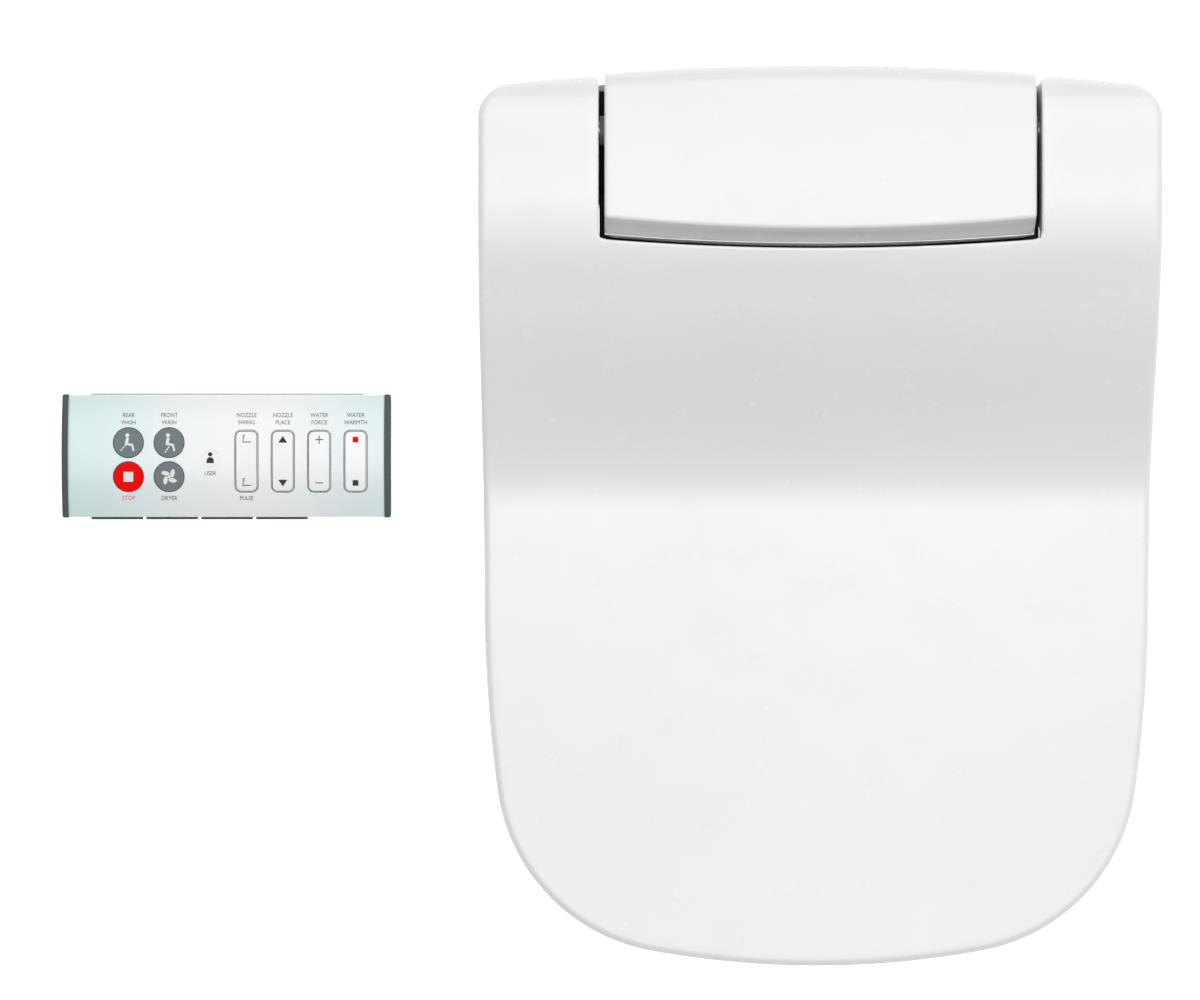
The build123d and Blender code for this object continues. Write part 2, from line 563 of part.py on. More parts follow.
def heater_element():
    """Hairpin heating rod inside the tank."""
    path = FilletPolyline((-104, -20, 38), (-46, -20, 38), (-46, 36, 38), (-104, 36, 38), radius=12)
    start = Plane(origin=path @ 0, z_dir=path % 0)
    return sweep(start * Circle(HEATER_R), path)


def water_pump():
    body = block(74, 108, -34, -6, FLOOR_Z, 22, 3)
    return body + rod_z(91, -20, 22, 42, 11)


def flow_valve():
    body = block(72, 112, 4, 34, FLOOR_Z, 26, 2)
    return body + rod_z(84, 19, 26, 36, 8) + rod_y(104, -2, 4, 16, 3.5)


def water_hoses():
    """Inner hoses: inlet valve to flow valve, pump to tank."""
    supply = FilletPolyline((140, 14, 14), (126, 14, 14), (126, 24, 14), (112, 24, 14), radius=4)
    loop = FilletPolyline((91, -20, 42), (91, -20, 85), (-75, -20, 85), (-75, 8, 85), (-75, 8, 78), radius=6)
    hoses = []
    for path in (supply, loop):
        hoses.append(sweep(Plane(origin=path @ 0, z_dir=path % 0) * Circle(HOSE_R), path))
    return Compound(children=[h.solids()[0] for h in hoses])


# ---------------------------------------------------------------- nozzles
def along(s, v=0.0, x=0.0):
    """Point at s along the nozzles' slanted line (positive towards the bowl) and v above it."""
    y = PORT_Y - s * cos(NOZZLE_ANGLE) - v * sin(NOZZLE_ANGLE)
    z = PORT_Z - s * sin(NOZZLE_ANGLE) + v * cos(NOZZLE_ANGLE)
    return (x, y, z)


def slant_prism(face, x, width):
    """Carry a face drawn in s and v across the nozzles' slanted line, centred on x."""
    frame = Plane(origin=(x + width / 2, PORT_Y, PORT_Z), z_dir=(-1, 0, 0),
                  x_dir=(0, -cos(NOZZLE_ANGLE), -sin(NOZZLE_ANGLE)))
    return extrude(frame * face, amount=width, dir=(-1, 0, 0))


def rack_face():
    """Rack teeth with 20 degree flanks on a thin rib."""
    pitch = pi * MODULE
    root_v, tip_v = PITCH_V - 1.0, PITCH_V + 0.6
    lean = tan(PRESSURE_ANGLE)
    half = pitch / 4 - BACKLASH
    points = [(RACK_S0, 4.5)]
    tooth = PINION_S + pitch / 2 - pitch * int((PINION_S - RACK_S0) / pitch)
    points.append((RACK_S0, root_v))
    while tooth < RACK_S1 - pitch / 2:
        foot = half + (PITCH_V - root_v) * lean
        tip = half - (tip_v - PITCH_V) * lean
        points += [(tooth - foot, root_v), (tooth - tip, tip_v), (tooth + tip, tip_v), (tooth + foot, root_v)]
        tooth += pitch
    points += [(RACK_S1, root_v), (RACK_S1, 4.5)]
    return polygon(points)


def nozzle(x):
    """Washing wand: round tube with a domed tip, a spray hole on top and a rack along its rear."""
    wand = rod(along(NOZZLE_TAIL, 0, x), along(NOZZLE_TIP, 0, x), NOZZLE_R)
    tip_edge = [e for e in wand.edges().filter_by(GeomType.CIRCLE) if e.center().Y < PORT_Y + 10]
    wand = fillet(tip_edge, 3.5)
    wand += slant_prism(rack_face(), x, RACK_WIDTH)
    wand -= rod(along(NOZZLE_TAIL - 1, 0, x), along(NOZZLE_TAIL + 10, 0, x), 3)
    return wand - rod(along(-10, 2, x), along(-10, 8, x), 1.2)


def pinion(x):
    """Involute pinion on the rack, a tooth pointing at the rack at rest."""
    base_r = PITCH_R * cos(PRESSURE_ANGLE)
    root_r, tip_r = PITCH_R - 0.8, PITCH_R + MODULE
    involute = tan(PRESSURE_ANGLE) - PRESSURE_ANGLE
    half = (pi * MODULE / 4 - BACKLASH) / PITCH_R + involute
    flank = []
    for radius in (base_r, 5.55, 6.0, tip_r):
        alpha = acos(base_r / radius)
        flank.append((radius, half - (tan(alpha) - alpha)))
    points = []
    for k in range(TEETH):
        middle = -pi / 2 + 2 * pi * k / TEETH
        rising = [(root_r, middle - half)] + [(r, middle - t) for r, t in flank]
        falling = [(r, middle + t) for r, t in reversed(flank)] + [(root_r, middle + half)]
        points += [(r * cos(t), PINION_V + r * sin(t)) for r, t in rising + falling]
    gear = Pos(PINION_S, 0) * polygon(points)
    wheel = slant_prism(gear, x, RACK_WIDTH)
    outward = 1 if x > 0 else -1
    near = along(PINION_S, PINION_V, x + outward * RACK_WIDTH / 2)
    far = along(PINION_S, PINION_V, x + outward * (RACK_WIDTH / 2 + 1.2))
    return wheel + rod(near, far, 3) - rod(along(PINION_S, PINION_V, x - 5), along(PINION_S, PINION_V, x + 5), 1.05)


def nozzle_motors():
    """A small geared motor beside each pinion, its shaft in the pinion's bore."""
    motors = []
    for side in (-1, 1):
        x0, x1 = side * 15.4, side * 32
        can = rod(along(PINION_S, PINION_V, x0), along(PINION_S, PINION_V, x1), 8.4)
        can += rod(along(PINION_S, PINION_V, side * 9.4), along(PINION_S, PINION_V, x0), 1.0)
        motors.append(can)
    return Compound(children=[m.solids()[0] for m in motors])


def nozzle_guide():
    """Cradle that carries both nozzles, on two feet."""
    section = polygon([(-142, -7.5), (-18, -7.5), (-18, 1.0), (-142, 1.0)])
    cradle = slant_prism(section, 0, 40)
    for x in (-NOZZLE_X, NOZZLE_X):
        cradle -= rod(along(-160, 0, x), along(10, 0, x), NOZZLE_R + 0.3)
    low = yz_prism(-18, 18, polygon([(-22, 7.3), (-14, 7.3), (-14, 32), (-22, 30)]))
    high = yz_prism(-18, 18, polygon([(16, 7.3), (24, 7.3), (24, 46), (16, 43)]))
    block = slant_prism(polygon([(-170, -7.5), (20, -7.5), (20, 60), (-170, 60)]), 0, 60)
    return cradle + ((low + high) - block)


# ---------------------------------------------------------------- warm air
def fan_scroll():
    """Blower housing with its outlet at the lower front."""
    face = Pos(FAN_Y, FAN_Z) * Circle(FAN_R)
    throat = polygon([(FAN_Y, FAN_Z - FAN_R), (FAN_Y, DUCT_REAR_Z + DUCT_H), (DUCT_REAR_Y, DUCT_REAR_Z + DUCT_H),
                      (DUCT_REAR_Y, FAN_Z - FAN_R)])
    inner_throat = polygon([(FAN_Y, FAN_Z - FAN_R + 2), (FAN_Y, DUCT_REAR_Z + DUCT_H - 2),
                            (DUCT_REAR_Y - 1, DUCT_REAR_Z + DUCT_H - 2), (DUCT_REAR_Y - 1, FAN_Z - FAN_R + 2)])
    scroll = yz_prism(FAN_X0, FAN_X1, face + throat)
    scroll -= yz_prism(FAN_X0 + 2, FAN_X1 - 2, Pos(FAN_Y, FAN_Z) * Circle(FAN_R - 2) + inner_throat)
    return scroll - rod_x(FAN_X0 - 1, FAN_X0 + 3, FAN_Y, FAN_Z, 15) - rod_x(FAN_X1 - 3, FAN_X1 + 1, FAN_Y, FAN_Z, 4)


def fan_impeller():
    """Squirrel-cage wheel."""
    x0, x1 = FAN_X0 + 4, FAN_X1 - 4
    wheel = rod_x(x1 - 2, x1, FAN_Y, FAN_Z, 23) + rod_x(x1 - 10, x1, FAN_Y, FAN_Z, 6)
    wheel += rod_x(x0, x0 + 2, FAN_Y, FAN_Z, 23) - rod_x(x0 - 1, x0 + 3, FAN_Y, FAN_Z, 18.5)
    blades = 20
    for k in range(blades):
        blade = box(x0 + 1, x1 - 1, 18.7, 22.7, -0.7, 0.7)
        wheel += Pos(0, FAN_Y, FAN_Z) * Rot(360 * k / blades, 0, 0) * blade
    return wheel - rod_x(x0 - 5, x1 + 5, FAN_Y, FAN_Z, 2.05)


def fan_motor():
    return rod_x(FAN_X1, FAN_X1 + 22, FAN_Y, FAN_Z, 14) + rod_x(FAN_X1 - 13, FAN_X1, FAN_Y, FAN_Z, 2.0)


def duct_face(wall):
    rear, front = DUCT_REAR_Y, DUCT_FRONT_Y
    over = 1.0 if wall else 0.0
    drop = (DUCT_REAR_Z - DUCT_FRONT_Z) / (rear - front) * over
    return polygon([(rear + over, DUCT_REAR_Z + wall + drop), (rear + over, DUCT_REAR_Z + DUCT_H - wall + drop),
                    (front - over, DUCT_FRONT_Z + DUCT_H - wall - drop), (front - over, DUCT_FRONT_Z + wall - drop)])


def dryer_duct():
    outer = yz_prism(FAN_X0 + 2, FAN_X1 - 2, duct_face(0))
    return outer - yz_prism(FAN_X0 + 4, FAN_X1 - 4, duct_face(2.0))


def dryer_flap():
    """Flap over the air outlet, hinged along its top edge."""
    plate = box(FLAP_X0, FLAP_X1, HOOD_Y0 + 0.2, HOOD_Y0 + 1.8, FLAP_Z0, FLAP_Z1)
    return plate + rod_x(FLAP_X0, FLAP_X1, HOOD_Y0 + 1.0, FLAP_Z1, 0.8)


# ---------------------------------------------------------------- electrics
def control_board():
    board = box(-75, 75, -28, 46, BOARD_Z, BOARD_Z + BOARD_T)
    for x, y, w, d, h in BOARD_CHIPS:
        board += box(x, x + w, y, y + d, BOARD_Z - h, BOARD_Z)
    return board


def power_board():
    board = box(-176, -131, -8, 33, 8, 9.6)
    board += box(-174, -156, -4, 18, 9.6, 28)
    board += rod_z(-146, 4, 9.6, 27, 6) + rod_z(-146, 22, 9.6, 22, 5)
    return board + box(-172, -164, 22, 30, 9.6, 20)


def power_gland():
    """Empty gland for the mains lead in the rear of the left wing."""
    gland = rod_y(GLAND_X, GLAND_Y0, GLAND_Y1, GLAND_Z, GLAND_R)
    gland += rod_y(GLAND_X, GLAND_Y0, GLAND_Y0 + 3, GLAND_Z, GLAND_FLANGE_R)
    return gland - rod_y(GLAND_X, 30, 60, GLAND_Z, GLAND_BORE_R)


# ---------------------------------------------------------------- remote control
def remote_section(rise, bottom, top, inset=0.0):
    """Cross-section of the remote in Y and Z, between two heights, its top face raised by rise."""
    half, foot = REMOTE_HALF - inset, REMOTE_FOOT_HALF - inset
    edge = REMOTE_EDGE_Z + rise
    crown = ThreePointArc((-half, edge), (0, REMOTE_TOP_Z + rise), (half, edge))
    lower = Polyline((half, edge), (half, REMOTE_BEND_Z), (foot, 0), (-foot, 0), (-half, REMOTE_BEND_Z),
                     (-half, edge))
    whole = make_face([crown, lower])
    return whole & Pos(0, (bottom + top) / 2) * Rectangle(100, top - bottom)


def remote_block(x0, x1, rise=0.0, bottom=0.0, top=40.0, inset=0.0):
    block = yz_prism(x0, x1, remote_section(rise, bottom, top, inset))
    return Pos(REMOTE_X, REMOTE_Y, 0) * block


def at_remote(shape):
    return Pos(REMOTE_X, REMOTE_Y, 0) * shape


def key_hole(x, y, radius):
    return at_remote(rod_z(x, y, 8, 40, radius))


def rocker_prism(x, z0, z1, grow=0.0):
    face = RectangleRounded(ROCKER_W + 2 * grow, ROCKER_L + 2 * grow, ROCKER_CORNER + grow)
    return at_remote(slab(Pos(x, ROCKER_Y) * face, z0, z1))


def edge_key_box(index, y0, y1, grow=0.0):
    x0 = EDGE_KEY_X0 + index * EDGE_KEY_PITCH
    return at_remote(box(x0 - grow, x0 + EDGE_KEY_W + grow, y0, y1, EDGE_KEY_Z0 - grow, EDGE_KEY_Z1 + grow))


def remote_face():
    half = REMOTE_L / 2 - CAP_L
    face = remote_block(-half, half, bottom=REMOTE_SPLIT_Z)
    face -= remote_block(-half + 2, half - 2, rise=-REMOTE_WALL, bottom=0, inset=REMOTE_WALL)
    for x, y in ROUND_KEYS.values():
        face -= key_hole(x, y, KEY_R + KEY_GAP)
    face -= key_hole(*USER_KEY, USER_KEY_R + KEY_GAP)
    for x in ROCKERS.values():
        face -= rocker_prism(x, 8, 40, KEY_GAP)
    return face


def remote_back():
    half = REMOTE_L / 2 - CAP_L
    back = remote_block(-half, half, top=REMOTE_SPLIT_Z)
    back -= remote_block(-half + 2, half - 2, bottom=3, inset=REMOTE_WALL)
    back -= at_remote(box(DOOR_X0 - 0.3, half + 1, -DOOR_HALF - 0.3, DOOR_HALF + 0.3, -1, DOOR_T + 0.3))
    back -= at_remote(box(DOOR_X0 + 2, half - 9, -12.5, 12.5, 0, 5))
    for index in range(4):
        back -= edge_key_box(index, -40, -28, 0.3)
    return back - at_remote(box(STRIP_X0, STRIP_X1, 30, 40, 4, 9.5))


def remote_end_caps():
    half = REMOTE_L / 2
    caps = []
    for side in (-1, 1):
        x0, x1 = sorted((side * (half - CAP_L), side * half))
        cap = yz_prism(x0, x1, remote_section(0.4, 0.0, 40.0, inset=-0.4))
        outer = cap.faces().sort_by(Axis.X)[0 if side < 0 else -1]
        cap = fillet([e for e in outer.edges() if e.center().Z > 0.5], 1.2)
        if side > 0:
            cap -= box(x0 - 1, x1 + 1, -DOOR_HALF - 0.3, DOOR_HALF + 0.3, -1, DOOR_T + 0.3)
        caps.append(at_remote(cap).solids()[0])
    return Compound(children=caps)


def round_key(x, y, radius):
    shaft = key_hole(x, y, radius) & remote_block(-95, 95, rise=KEY_PROUD, bottom=KEY_LOW_Z)
    return shaft + at_remote(rod_z(x, y, KEY_LOW_Z, KEY_LOW_Z + 1.2, radius + 0.9))


def rocker(x):
    return rocker_prism(x, 8, 40) & remote_block(-95, 95, rise=KEY_PROUD, bottom=KEY_LOW_Z)


def edge_key(index):
    key = edge_key_box(index, -REMOTE_HALF - 1.4, -30)
    front = [e for e in key.edges() if e.center().Y < REMOTE_Y - REMOTE_HALF - 1.3]
    key = fillet(front, 0.8)
    return key + edge_key_box(index, -31.4, -29.5, 0.7)


def ir_window():
    strip = box(STRIP_X0, STRIP_X1, 31, REMOTE_HALF + 1.0, 4, 9.5)
    return at_remote(fillet(strip.edges().filter_by(lambda e: e.center().Y > REMOTE_HALF + 0.9), 0.6))


def remote_board():
    return at_remote(box(-86, 86, -28, 28, 10.4, 12.0))


def batteries():
    cells = []
    for y in (-5.4, 5.4):
        cell = rod_x(DOOR_X0 + 3.5, DOOR_X0 + 42, y, 4.9 + 2.05, 3.0)
        cells.append(at_remote(cell))
    return Compound(children=cells)


def battery_door():
    return at_remote(box(DOOR_X0, REMOTE_L / 2, -DOOR_HALF, DOOR_HALF, 0, DOOR_T))


# ---------------------------------------------------------------- everything
def main():
    os.makedirs("parts", exist_ok=True)
    parts = {
        "mounting_plate": mounting_plate(),
        "base_tray": base_tray(),
        "housing_body": housing_body(),
        "housing_cover": housing_cover(),
        "nozzle_hood": nozzle_hood(),
        "hinge_bushes": hinge_bushes(),
        "hinge_pins": hinge_pins(),
        "lid_damper": damper(-1),
        "seat_damper": damper(1),
        "release_button": release_button(),
        "housing_screws": housing_screws(),
        "water_inlet": water_inlet(),
        "inlet_valve": inlet_valve(),
        "heater_tank": heater_tank(),
        "heater_element": heater_element(),
        "water_pump": water_pump(),
        "flow_valve": flow_valve(),
        "water_hoses": water_hoses(),
        "fan_scroll": fan_scroll(),
        "fan_impeller": fan_impeller(),
        "fan_motor": fan_motor(),
        "dryer_duct": dryer_duct(),
        "dryer_flap": dryer_flap(),
        "nozzle_guide": nozzle_guide(),
        "rear_nozzle": nozzle(-NOZZLE_X),
        "front_nozzle": nozzle(NOZZLE_X),
        "rear_pinion": pinion(-NOZZLE_X),
        "front_pinion": pinion(NOZZLE_X),
        "nozzle_motors": nozzle_motors(),
        "control_board": control_board(),
        "power_board": power_board(),
        "power_gland": power_gland(),
        "seat_top": seat_top(),
        "seat_base": seat_base(),
        "seat_heater": seat_heater(),
        "seat_bumpers": seat_bumpers(),
        "lid_shell": lid_shell(),
        "lid_bumpers": lid_bumpers(),
        "remote_face": remote_face(),
        "remote_back": remote_back(),
        "remote_end_caps": remote_end_caps(),
        "remote_board": remote_board(),
        "batteries": batteries(),
        "battery_door": battery_door(),
        "ir_window": ir_window(),
        "user_key": round_key(*USER_KEY, USER_KEY_R),
    }
    for name, (x, y) in ROUND_KEYS.items():
        parts[name] = round_key(x, y, KEY_R)
    for name, x in ROCKERS.items():
        parts[name] = rocker(x)
    for index in range(4):
        parts[f"edge_key_{index + 1}"] = edge_key(index)
    for name, shape in parts.items():
        save(name, shape)


if __name__ == "__main__":
    main()
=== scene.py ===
"""Electric bidet seat with its remote control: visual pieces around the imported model."""
import json
from math import pi, radians, sqrt

import bmesh
import bpy
import numpy as np
from bpy.props import FloatProperty, FloatVectorProperty, PointerProperty
from bpy.types import Operator, Panel, PropertyGroup
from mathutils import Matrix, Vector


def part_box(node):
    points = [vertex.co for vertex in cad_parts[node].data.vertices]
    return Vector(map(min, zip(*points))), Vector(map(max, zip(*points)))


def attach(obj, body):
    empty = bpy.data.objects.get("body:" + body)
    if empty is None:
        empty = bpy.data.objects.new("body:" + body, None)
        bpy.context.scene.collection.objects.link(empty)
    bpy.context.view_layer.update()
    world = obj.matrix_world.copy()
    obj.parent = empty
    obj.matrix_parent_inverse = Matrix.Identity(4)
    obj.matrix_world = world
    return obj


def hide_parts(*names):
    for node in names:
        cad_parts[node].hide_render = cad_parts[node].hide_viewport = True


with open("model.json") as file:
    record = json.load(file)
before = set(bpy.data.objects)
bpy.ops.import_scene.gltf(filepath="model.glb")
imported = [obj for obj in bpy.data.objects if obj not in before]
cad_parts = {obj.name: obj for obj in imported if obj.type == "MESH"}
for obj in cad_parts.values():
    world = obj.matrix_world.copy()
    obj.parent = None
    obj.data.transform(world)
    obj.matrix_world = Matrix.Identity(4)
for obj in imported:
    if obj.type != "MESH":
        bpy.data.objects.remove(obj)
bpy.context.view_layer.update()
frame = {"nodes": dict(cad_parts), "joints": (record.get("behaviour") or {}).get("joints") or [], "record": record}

bl_info = {
    "name": "Bidet Seat Maker",
    "version": (1, 0, 0),
    "blender": (4, 5, 0),
    "location": "View3D > Sidebar > Bidet Seat",
    "description": "Builds the lid, seat, housing and remote control of an electric bidet seat",
    "category": "Add Mesh",
}

# Shapes are worked out in millimetres in the frame's own axes and written in metres.
MM = 0.001


def node_box(name):
    """Lowest and highest corner of a CAD node, in millimetres."""
    low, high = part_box(name)
    return np.array(low) / MM, np.array(high) / MM


LID_LOW, LID_HIGH = node_box("lid_shell")
FRONT_Y, SKIRT_Z = LID_LOW[1], LID_LOW[2]
HALF_REAR = LID_HIGH[0]
FRONT_ARC_R, FRONT_ARC_END = 527.0, 10.4
CORNER_ARC_R, CORNER_ARC_END = 108.5, 82.5
SIDE_ARC_R = 855.0
WAIST_Y, REAR_Y, REAR_ARC_R, REAR_CORNER_R = -40.0, 59.0, 1500.0, 20.0
NOTCH_X, NOTCH_Y, NOTCH_BOW = 125.0, -44.5, 5.1
NOTCH_REAR_R, NOTCH_FRONT_R = 5.0, 3.0
HINGE_Y, HINGE_Z = np.array(next(j["pos_m"] for j in frame["joints"] if j["name"] == "lid_hinge"))[1:] / MM

# The lid's height along Y: a start, then (rise, start in Y, length in Y) of each smooth step.
DECK_Z = 51.0
LID_STEPS = ((6.0, FRONT_Y, 262.0), (61.0, -192.0, 152.0), (9.0, -75.0, 63.0), (-2.0, -12.0, 46.0))
TAIL_Y, TAIL_Z, TAIL_R = 34.0, 105.0, 20.0
# Its lower edge: the arc about the hinge, the step up from the skirt and the flange in the notch.
EAR_CLEAR_R, EAR_REACH = 42.0, 41.0
SKIRT_STEP, SKIRT_STEP_Y, SKIRT_STEP_LENGTH = 20.0, -24.0, 5.0
FLANGE_Z, FLANGE_DROP, FLANGE_Y, FLANGE_LENGTH, FLANGE_END_Y = 108.5, 58.5, -38.0, 18.0, -19.0

# The cover: crown, front foot and lip with their bow at the ends, and the rear corner's radius.
CROWN_Z, CROWN_Y, CROWN_DROP, CROWN_LENGTH = 131.0, -12.0, 2.6, 60.0
FOOT_Y, FOOT_BOW, LIP_Y, LIP_BOW = -41.5, 5.1, -33.4, 6.2
COVER_REAR_R = 11.5

# The dark strip round the housing, painted shade for the gap under the cover's lip and beside the cover: inner line,
# heights of its foot and of its three tops.
SHADE_STRIP_X, SHADE_STRIP_Y, SHADE_STRIP_BOW = 121.55, -41.3, 5.1
SHADE_STRIP_FOOT, SHADE_STRIP_FRONT, SHADE_STRIP_SIDE, SHADE_STRIP_CORNER = 60.0, 62.0, 80.0, 98.0

FACE_LOW, FACE_HIGH = node_box("remote_face")
REMOTE_X, REMOTE_Y = (FACE_LOW[:2] + FACE_HIGH[:2]) / 2
REMOTE_HALF = (FACE_HIGH[1] - FACE_LOW[1]) / 2
REMOTE_TOP, REMOTE_EDGE = FACE_HIGH[2], 13.0
KEY_LOW = 14.0


# The camera looks straight down and sees VIEW_WIDTH metres at the height VIEW_LEVEL.
SENSOR_WIDTH, VIEW_LEVEL, VIEW_WIDTH = 36.0, 0.04, 0.6899
VIEW_CENTRE = (-0.1242, -0.1867)


# ------------------------------------------------------------------ small geometry tools
def smooth(t):
    """Smooth step: 3t^2 - 2t^3 with t held between 0 and 1."""
    t = np.clip(t, 0.0, 1.0)
    return t * t * (3.0 - 2.0 * t)


def arc_points(centre, radius, start, end, count=200):
    """Points of a plan arc; the angle is measured from -Y towards +X."""
    t = np.linspace(start, end, count)
    return np.c_[centre[0] + radius * np.sin(t), centre[1] - radius * np.cos(t)]


def straight(start, end, count=200):
    return np.linspace(start, end, count)


def joined(*lines):
    """Lines put end to end, with repeated points dropped."""
    line = np.vstack(lines)
    step = np.linalg.norm(np.diff(line, axis=0), axis=1)
    return line[np.r_[True, step > 1e-5]]


def arc_length(line):
    return np.r_[0.0, np.cumsum(np.linalg.norm(np.diff(line, axis=0), axis=1))]


def sampled(line, key, values):
    """Points and left-hand normals of a dense line where its rising key takes the given values."""
    tangent = np.gradient(line, axis=0)
    tangent /= np.linalg.norm(tangent, axis=1)[:, None]
    data = np.c_[line, -tangent[:, 1], tangent[:, 0]]
    return np.stack([np.interp(values, key, column) for column in data.T], axis=1)


def coons(bottom, top, left, right):
    """Coons patch: both ruled surfaces between opposite edges, minus the bilinear one."""
    u = np.linspace(0, 1, len(bottom))[None, :, None]
    v = np.linspace(0, 1, len(left))[:, None, None]
    ruled = (1 - v) * bottom[None] + v * top[None] + (1 - u) * left[:, None] + u * right[:, None]
    corners = ((1 - u) * (1 - v) * bottom[0] + u * (1 - v) * bottom[-1]
               + (1 - u) * v * top[0] + u * v * top[-1])
    return ruled - corners


def raised(plan, height):
    """Plan points with a height, scalar or one for each point."""
    height = np.broadcast_to(height, plan.shape[:-1])
    return np.concatenate([plan, height[..., None]], axis=-1)


class Builder:
    """Collects grids of points in millimetres and makes one mesh of them in metres."""

    def __init__(self):
        self.points, self.faces, self.count = [], [], 0

    def add(self, points, faces):
        self.points.append(points.reshape(-1, 3))
        self.faces += (faces + self.count).tolist()
        self.count += len(self.points[-1])

    def grid(self, points, closed=False):
        """Quads between neighbouring rows and columns; closed joins the last column to the first."""
        rows, columns = points.shape[:2]
        last = columns if closed else columns - 1
        r, c = np.meshgrid(np.arange(rows - 1), np.arange(last), indexing="ij")
        c2 = (c + 1) % columns
        quads = np.stack([r * columns + c, r * columns + c2, (r + 1) * columns + c2, (r + 1) * columns + c], -1)
        self.add(points, quads.reshape(-1, 4))

    def mirrored_x(self):
        points, faces = np.vstack(self.points), np.array(self.faces)
        self.add(points * (-1, 1, 1), faces[:, ::-1])

    def piece(self, name, material, body, slot, replaces=(), merge=0.002):
        """Finished object: seams merged, faces turned outwards, riding on its body."""
        mesh = bpy.data.meshes.new(name)
        mesh.from_pydata(np.vstack(self.points) * MM, [], self.faces)
        work = bmesh.new()
        work.from_mesh(mesh)
        bmesh.ops.remove_doubles(work, verts=work.verts, dist=merge * MM)
        bmesh.ops.dissolve_degenerate(work, edges=work.edges, dist=1e-7)
        bmesh.ops.recalc_face_normals(work, faces=work.faces)
        work.to_mesh(mesh)
        work.free()
        mesh.polygons.foreach_set("use_smooth", np.ones(len(mesh.polygons), bool))
        mesh.materials.append(material)
        made = bpy.data.objects.new(name, mesh)
        bpy.context.scene.collection.objects.link(made)
        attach(made, body)
        if replaces:
            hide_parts(*replaces)
        return made


# ------------------------------------------------------------------ materials
FINISH_PREFIX = "finish_"
TONE_CHANGE = 0.012
GLOSS_CHANGE = (0.85, 1.15)


def new_material(name, colour, roughness, coat=0.0, specular=0.5):
    """Principled material; a number that is the same all over stays on the shader's own socket."""
    material = bpy.data.materials.new(FINISH_PREFIX + name)
    material.use_nodes = True
    shader = material.node_tree.nodes["Principled BSDF"]
    shader.inputs["Base Color"].default_value = (*colour[:3], 1.0)
    shader.inputs["Roughness"].default_value = roughness
    shader.inputs["Specular IOR Level"].default_value = specular
    shader.inputs["Coat Weight"].default_value = coat
    shader.inputs["Coat Roughness"].default_value = 0.08
    material.diffuse_color = (*colour[:3], 1.0)
    return material, material.node_tree, shader


def object_noise(tree, scale, detail=2.0, stretch=(1, 1, 1)):
    """Noise on object coordinates, stretched by a Mapping node."""
    place = tree.nodes.new("ShaderNodeTexCoord")
    mapping = tree.nodes.new("ShaderNodeMapping")
    mapping.inputs["Scale"].default_value = stretch
    noise = tree.nodes.new("ShaderNodeTexNoise")
    noise.inputs["Scale"].default_value = scale
    noise.inputs["Detail"].default_value = detail
    tree.links.new(place.outputs["Object"], mapping.inputs["Vector"])
    tree.links.new(mapping.outputs["Vector"], noise.inputs["Vector"])
    return noise.outputs["Fac"]


def spread(tree, value, low, high):
    """Map a 0.3 to 0.7 noise value to low to high."""
    node = tree.nodes.new("ShaderNodeMapRange")
    for socket, number in (("From Min", 0.3), ("From Max", 0.7), ("To Min", low), ("To Max", high)):
        node.inputs[socket].default_value = number
    tree.links.new(value, node.inputs["Value"])
    return node.outputs["Result"]


def tint(tree, value, first, second):
    """Mix of two colours by a noise value."""
    node = tree.nodes.new("ShaderNodeMix")
    node.data_type = "RGBA"
    node.inputs[6].default_value = (*first, 1.0)
    node.inputs[7].default_value = (*second, 1.0)
    tree.links.new(spread(tree, value, 0.0, 1.0), node.inputs[0])
    return node.outputs[2]


def bump(tree, shader, value, distance):
    node = tree.nodes.new("ShaderNodeBump")
    node.inputs["Distance"].default_value = distance
    tree.links.new(value, node.inputs["Height"])
    tree.links.new(node.outputs["Normal"], shader.inputs["Normal"])


def moulded(name, colour, roughness=0.3, coat=0.0, grain=900.0, depth=0.000004, specular=0.5):
    """Injection-moulded plastic: faint tone change, uneven gloss and a fine skin."""
    material, tree, shader = new_material(name, colour, roughness, coat, specular)
    base = np.array(colour[:3])
    vary = TONE_CHANGE * base.max()
    cloud = object_noise(tree, 9.0, 3.0)
    low, high = tuple(np.clip(base - vary, 0, 1)), tuple(np.clip(base + vary, 0, 1))
    tree.links.new(tint(tree, cloud, low, high), shader.inputs["Base Color"])
    gloss = object_noise(tree, 40.0, 3.0)
    tree.links.new(spread(tree, gloss, *(roughness * k for k in GLOSS_CHANGE)), shader.inputs["Roughness"])
    bump(tree, shader, object_noise(tree, grain, 2.0), depth)
    return material


def metal(name, colour, roughness, stretch=(1, 1, 1)):
    """Turned or drawn metal with fine lines along its stretch."""
    material, tree, shader = new_material(name, colour, roughness)
    shader.inputs["Metallic"].default_value = 1.0
    lines = object_noise(tree, 300.0, 3.0, stretch)
    tree.links.new(spread(tree, lines, roughness * 0.7, roughness * 1.3), shader.inputs["Roughness"])
    bump(tree, shader, lines, 0.00001)
    return material


def circuit_board(name, colour):
    """Board with a green mask over faint copper tracks."""
    material, tree, shader = new_material(name, colour, 0.35)
    place = tree.nodes.new("ShaderNodeTexCoord")
    tracks = tree.nodes.new("ShaderNodeTexBrick")
    base = np.array(colour[:3])
    tracks.inputs["Scale"].default_value = 120.0
    tracks.inputs["Color1"].default_value = (*base, 1)
    tracks.inputs["Color2"].default_value = (*(base * 0.75), 1)
    tracks.inputs["Mortar"].default_value = (*(base * 2.0), 1)
    tree.links.new(place.outputs["Object"], tracks.inputs["Vector"])
    tree.links.new(tracks.outputs["Color"], shader.inputs["Base Color"])
    return material


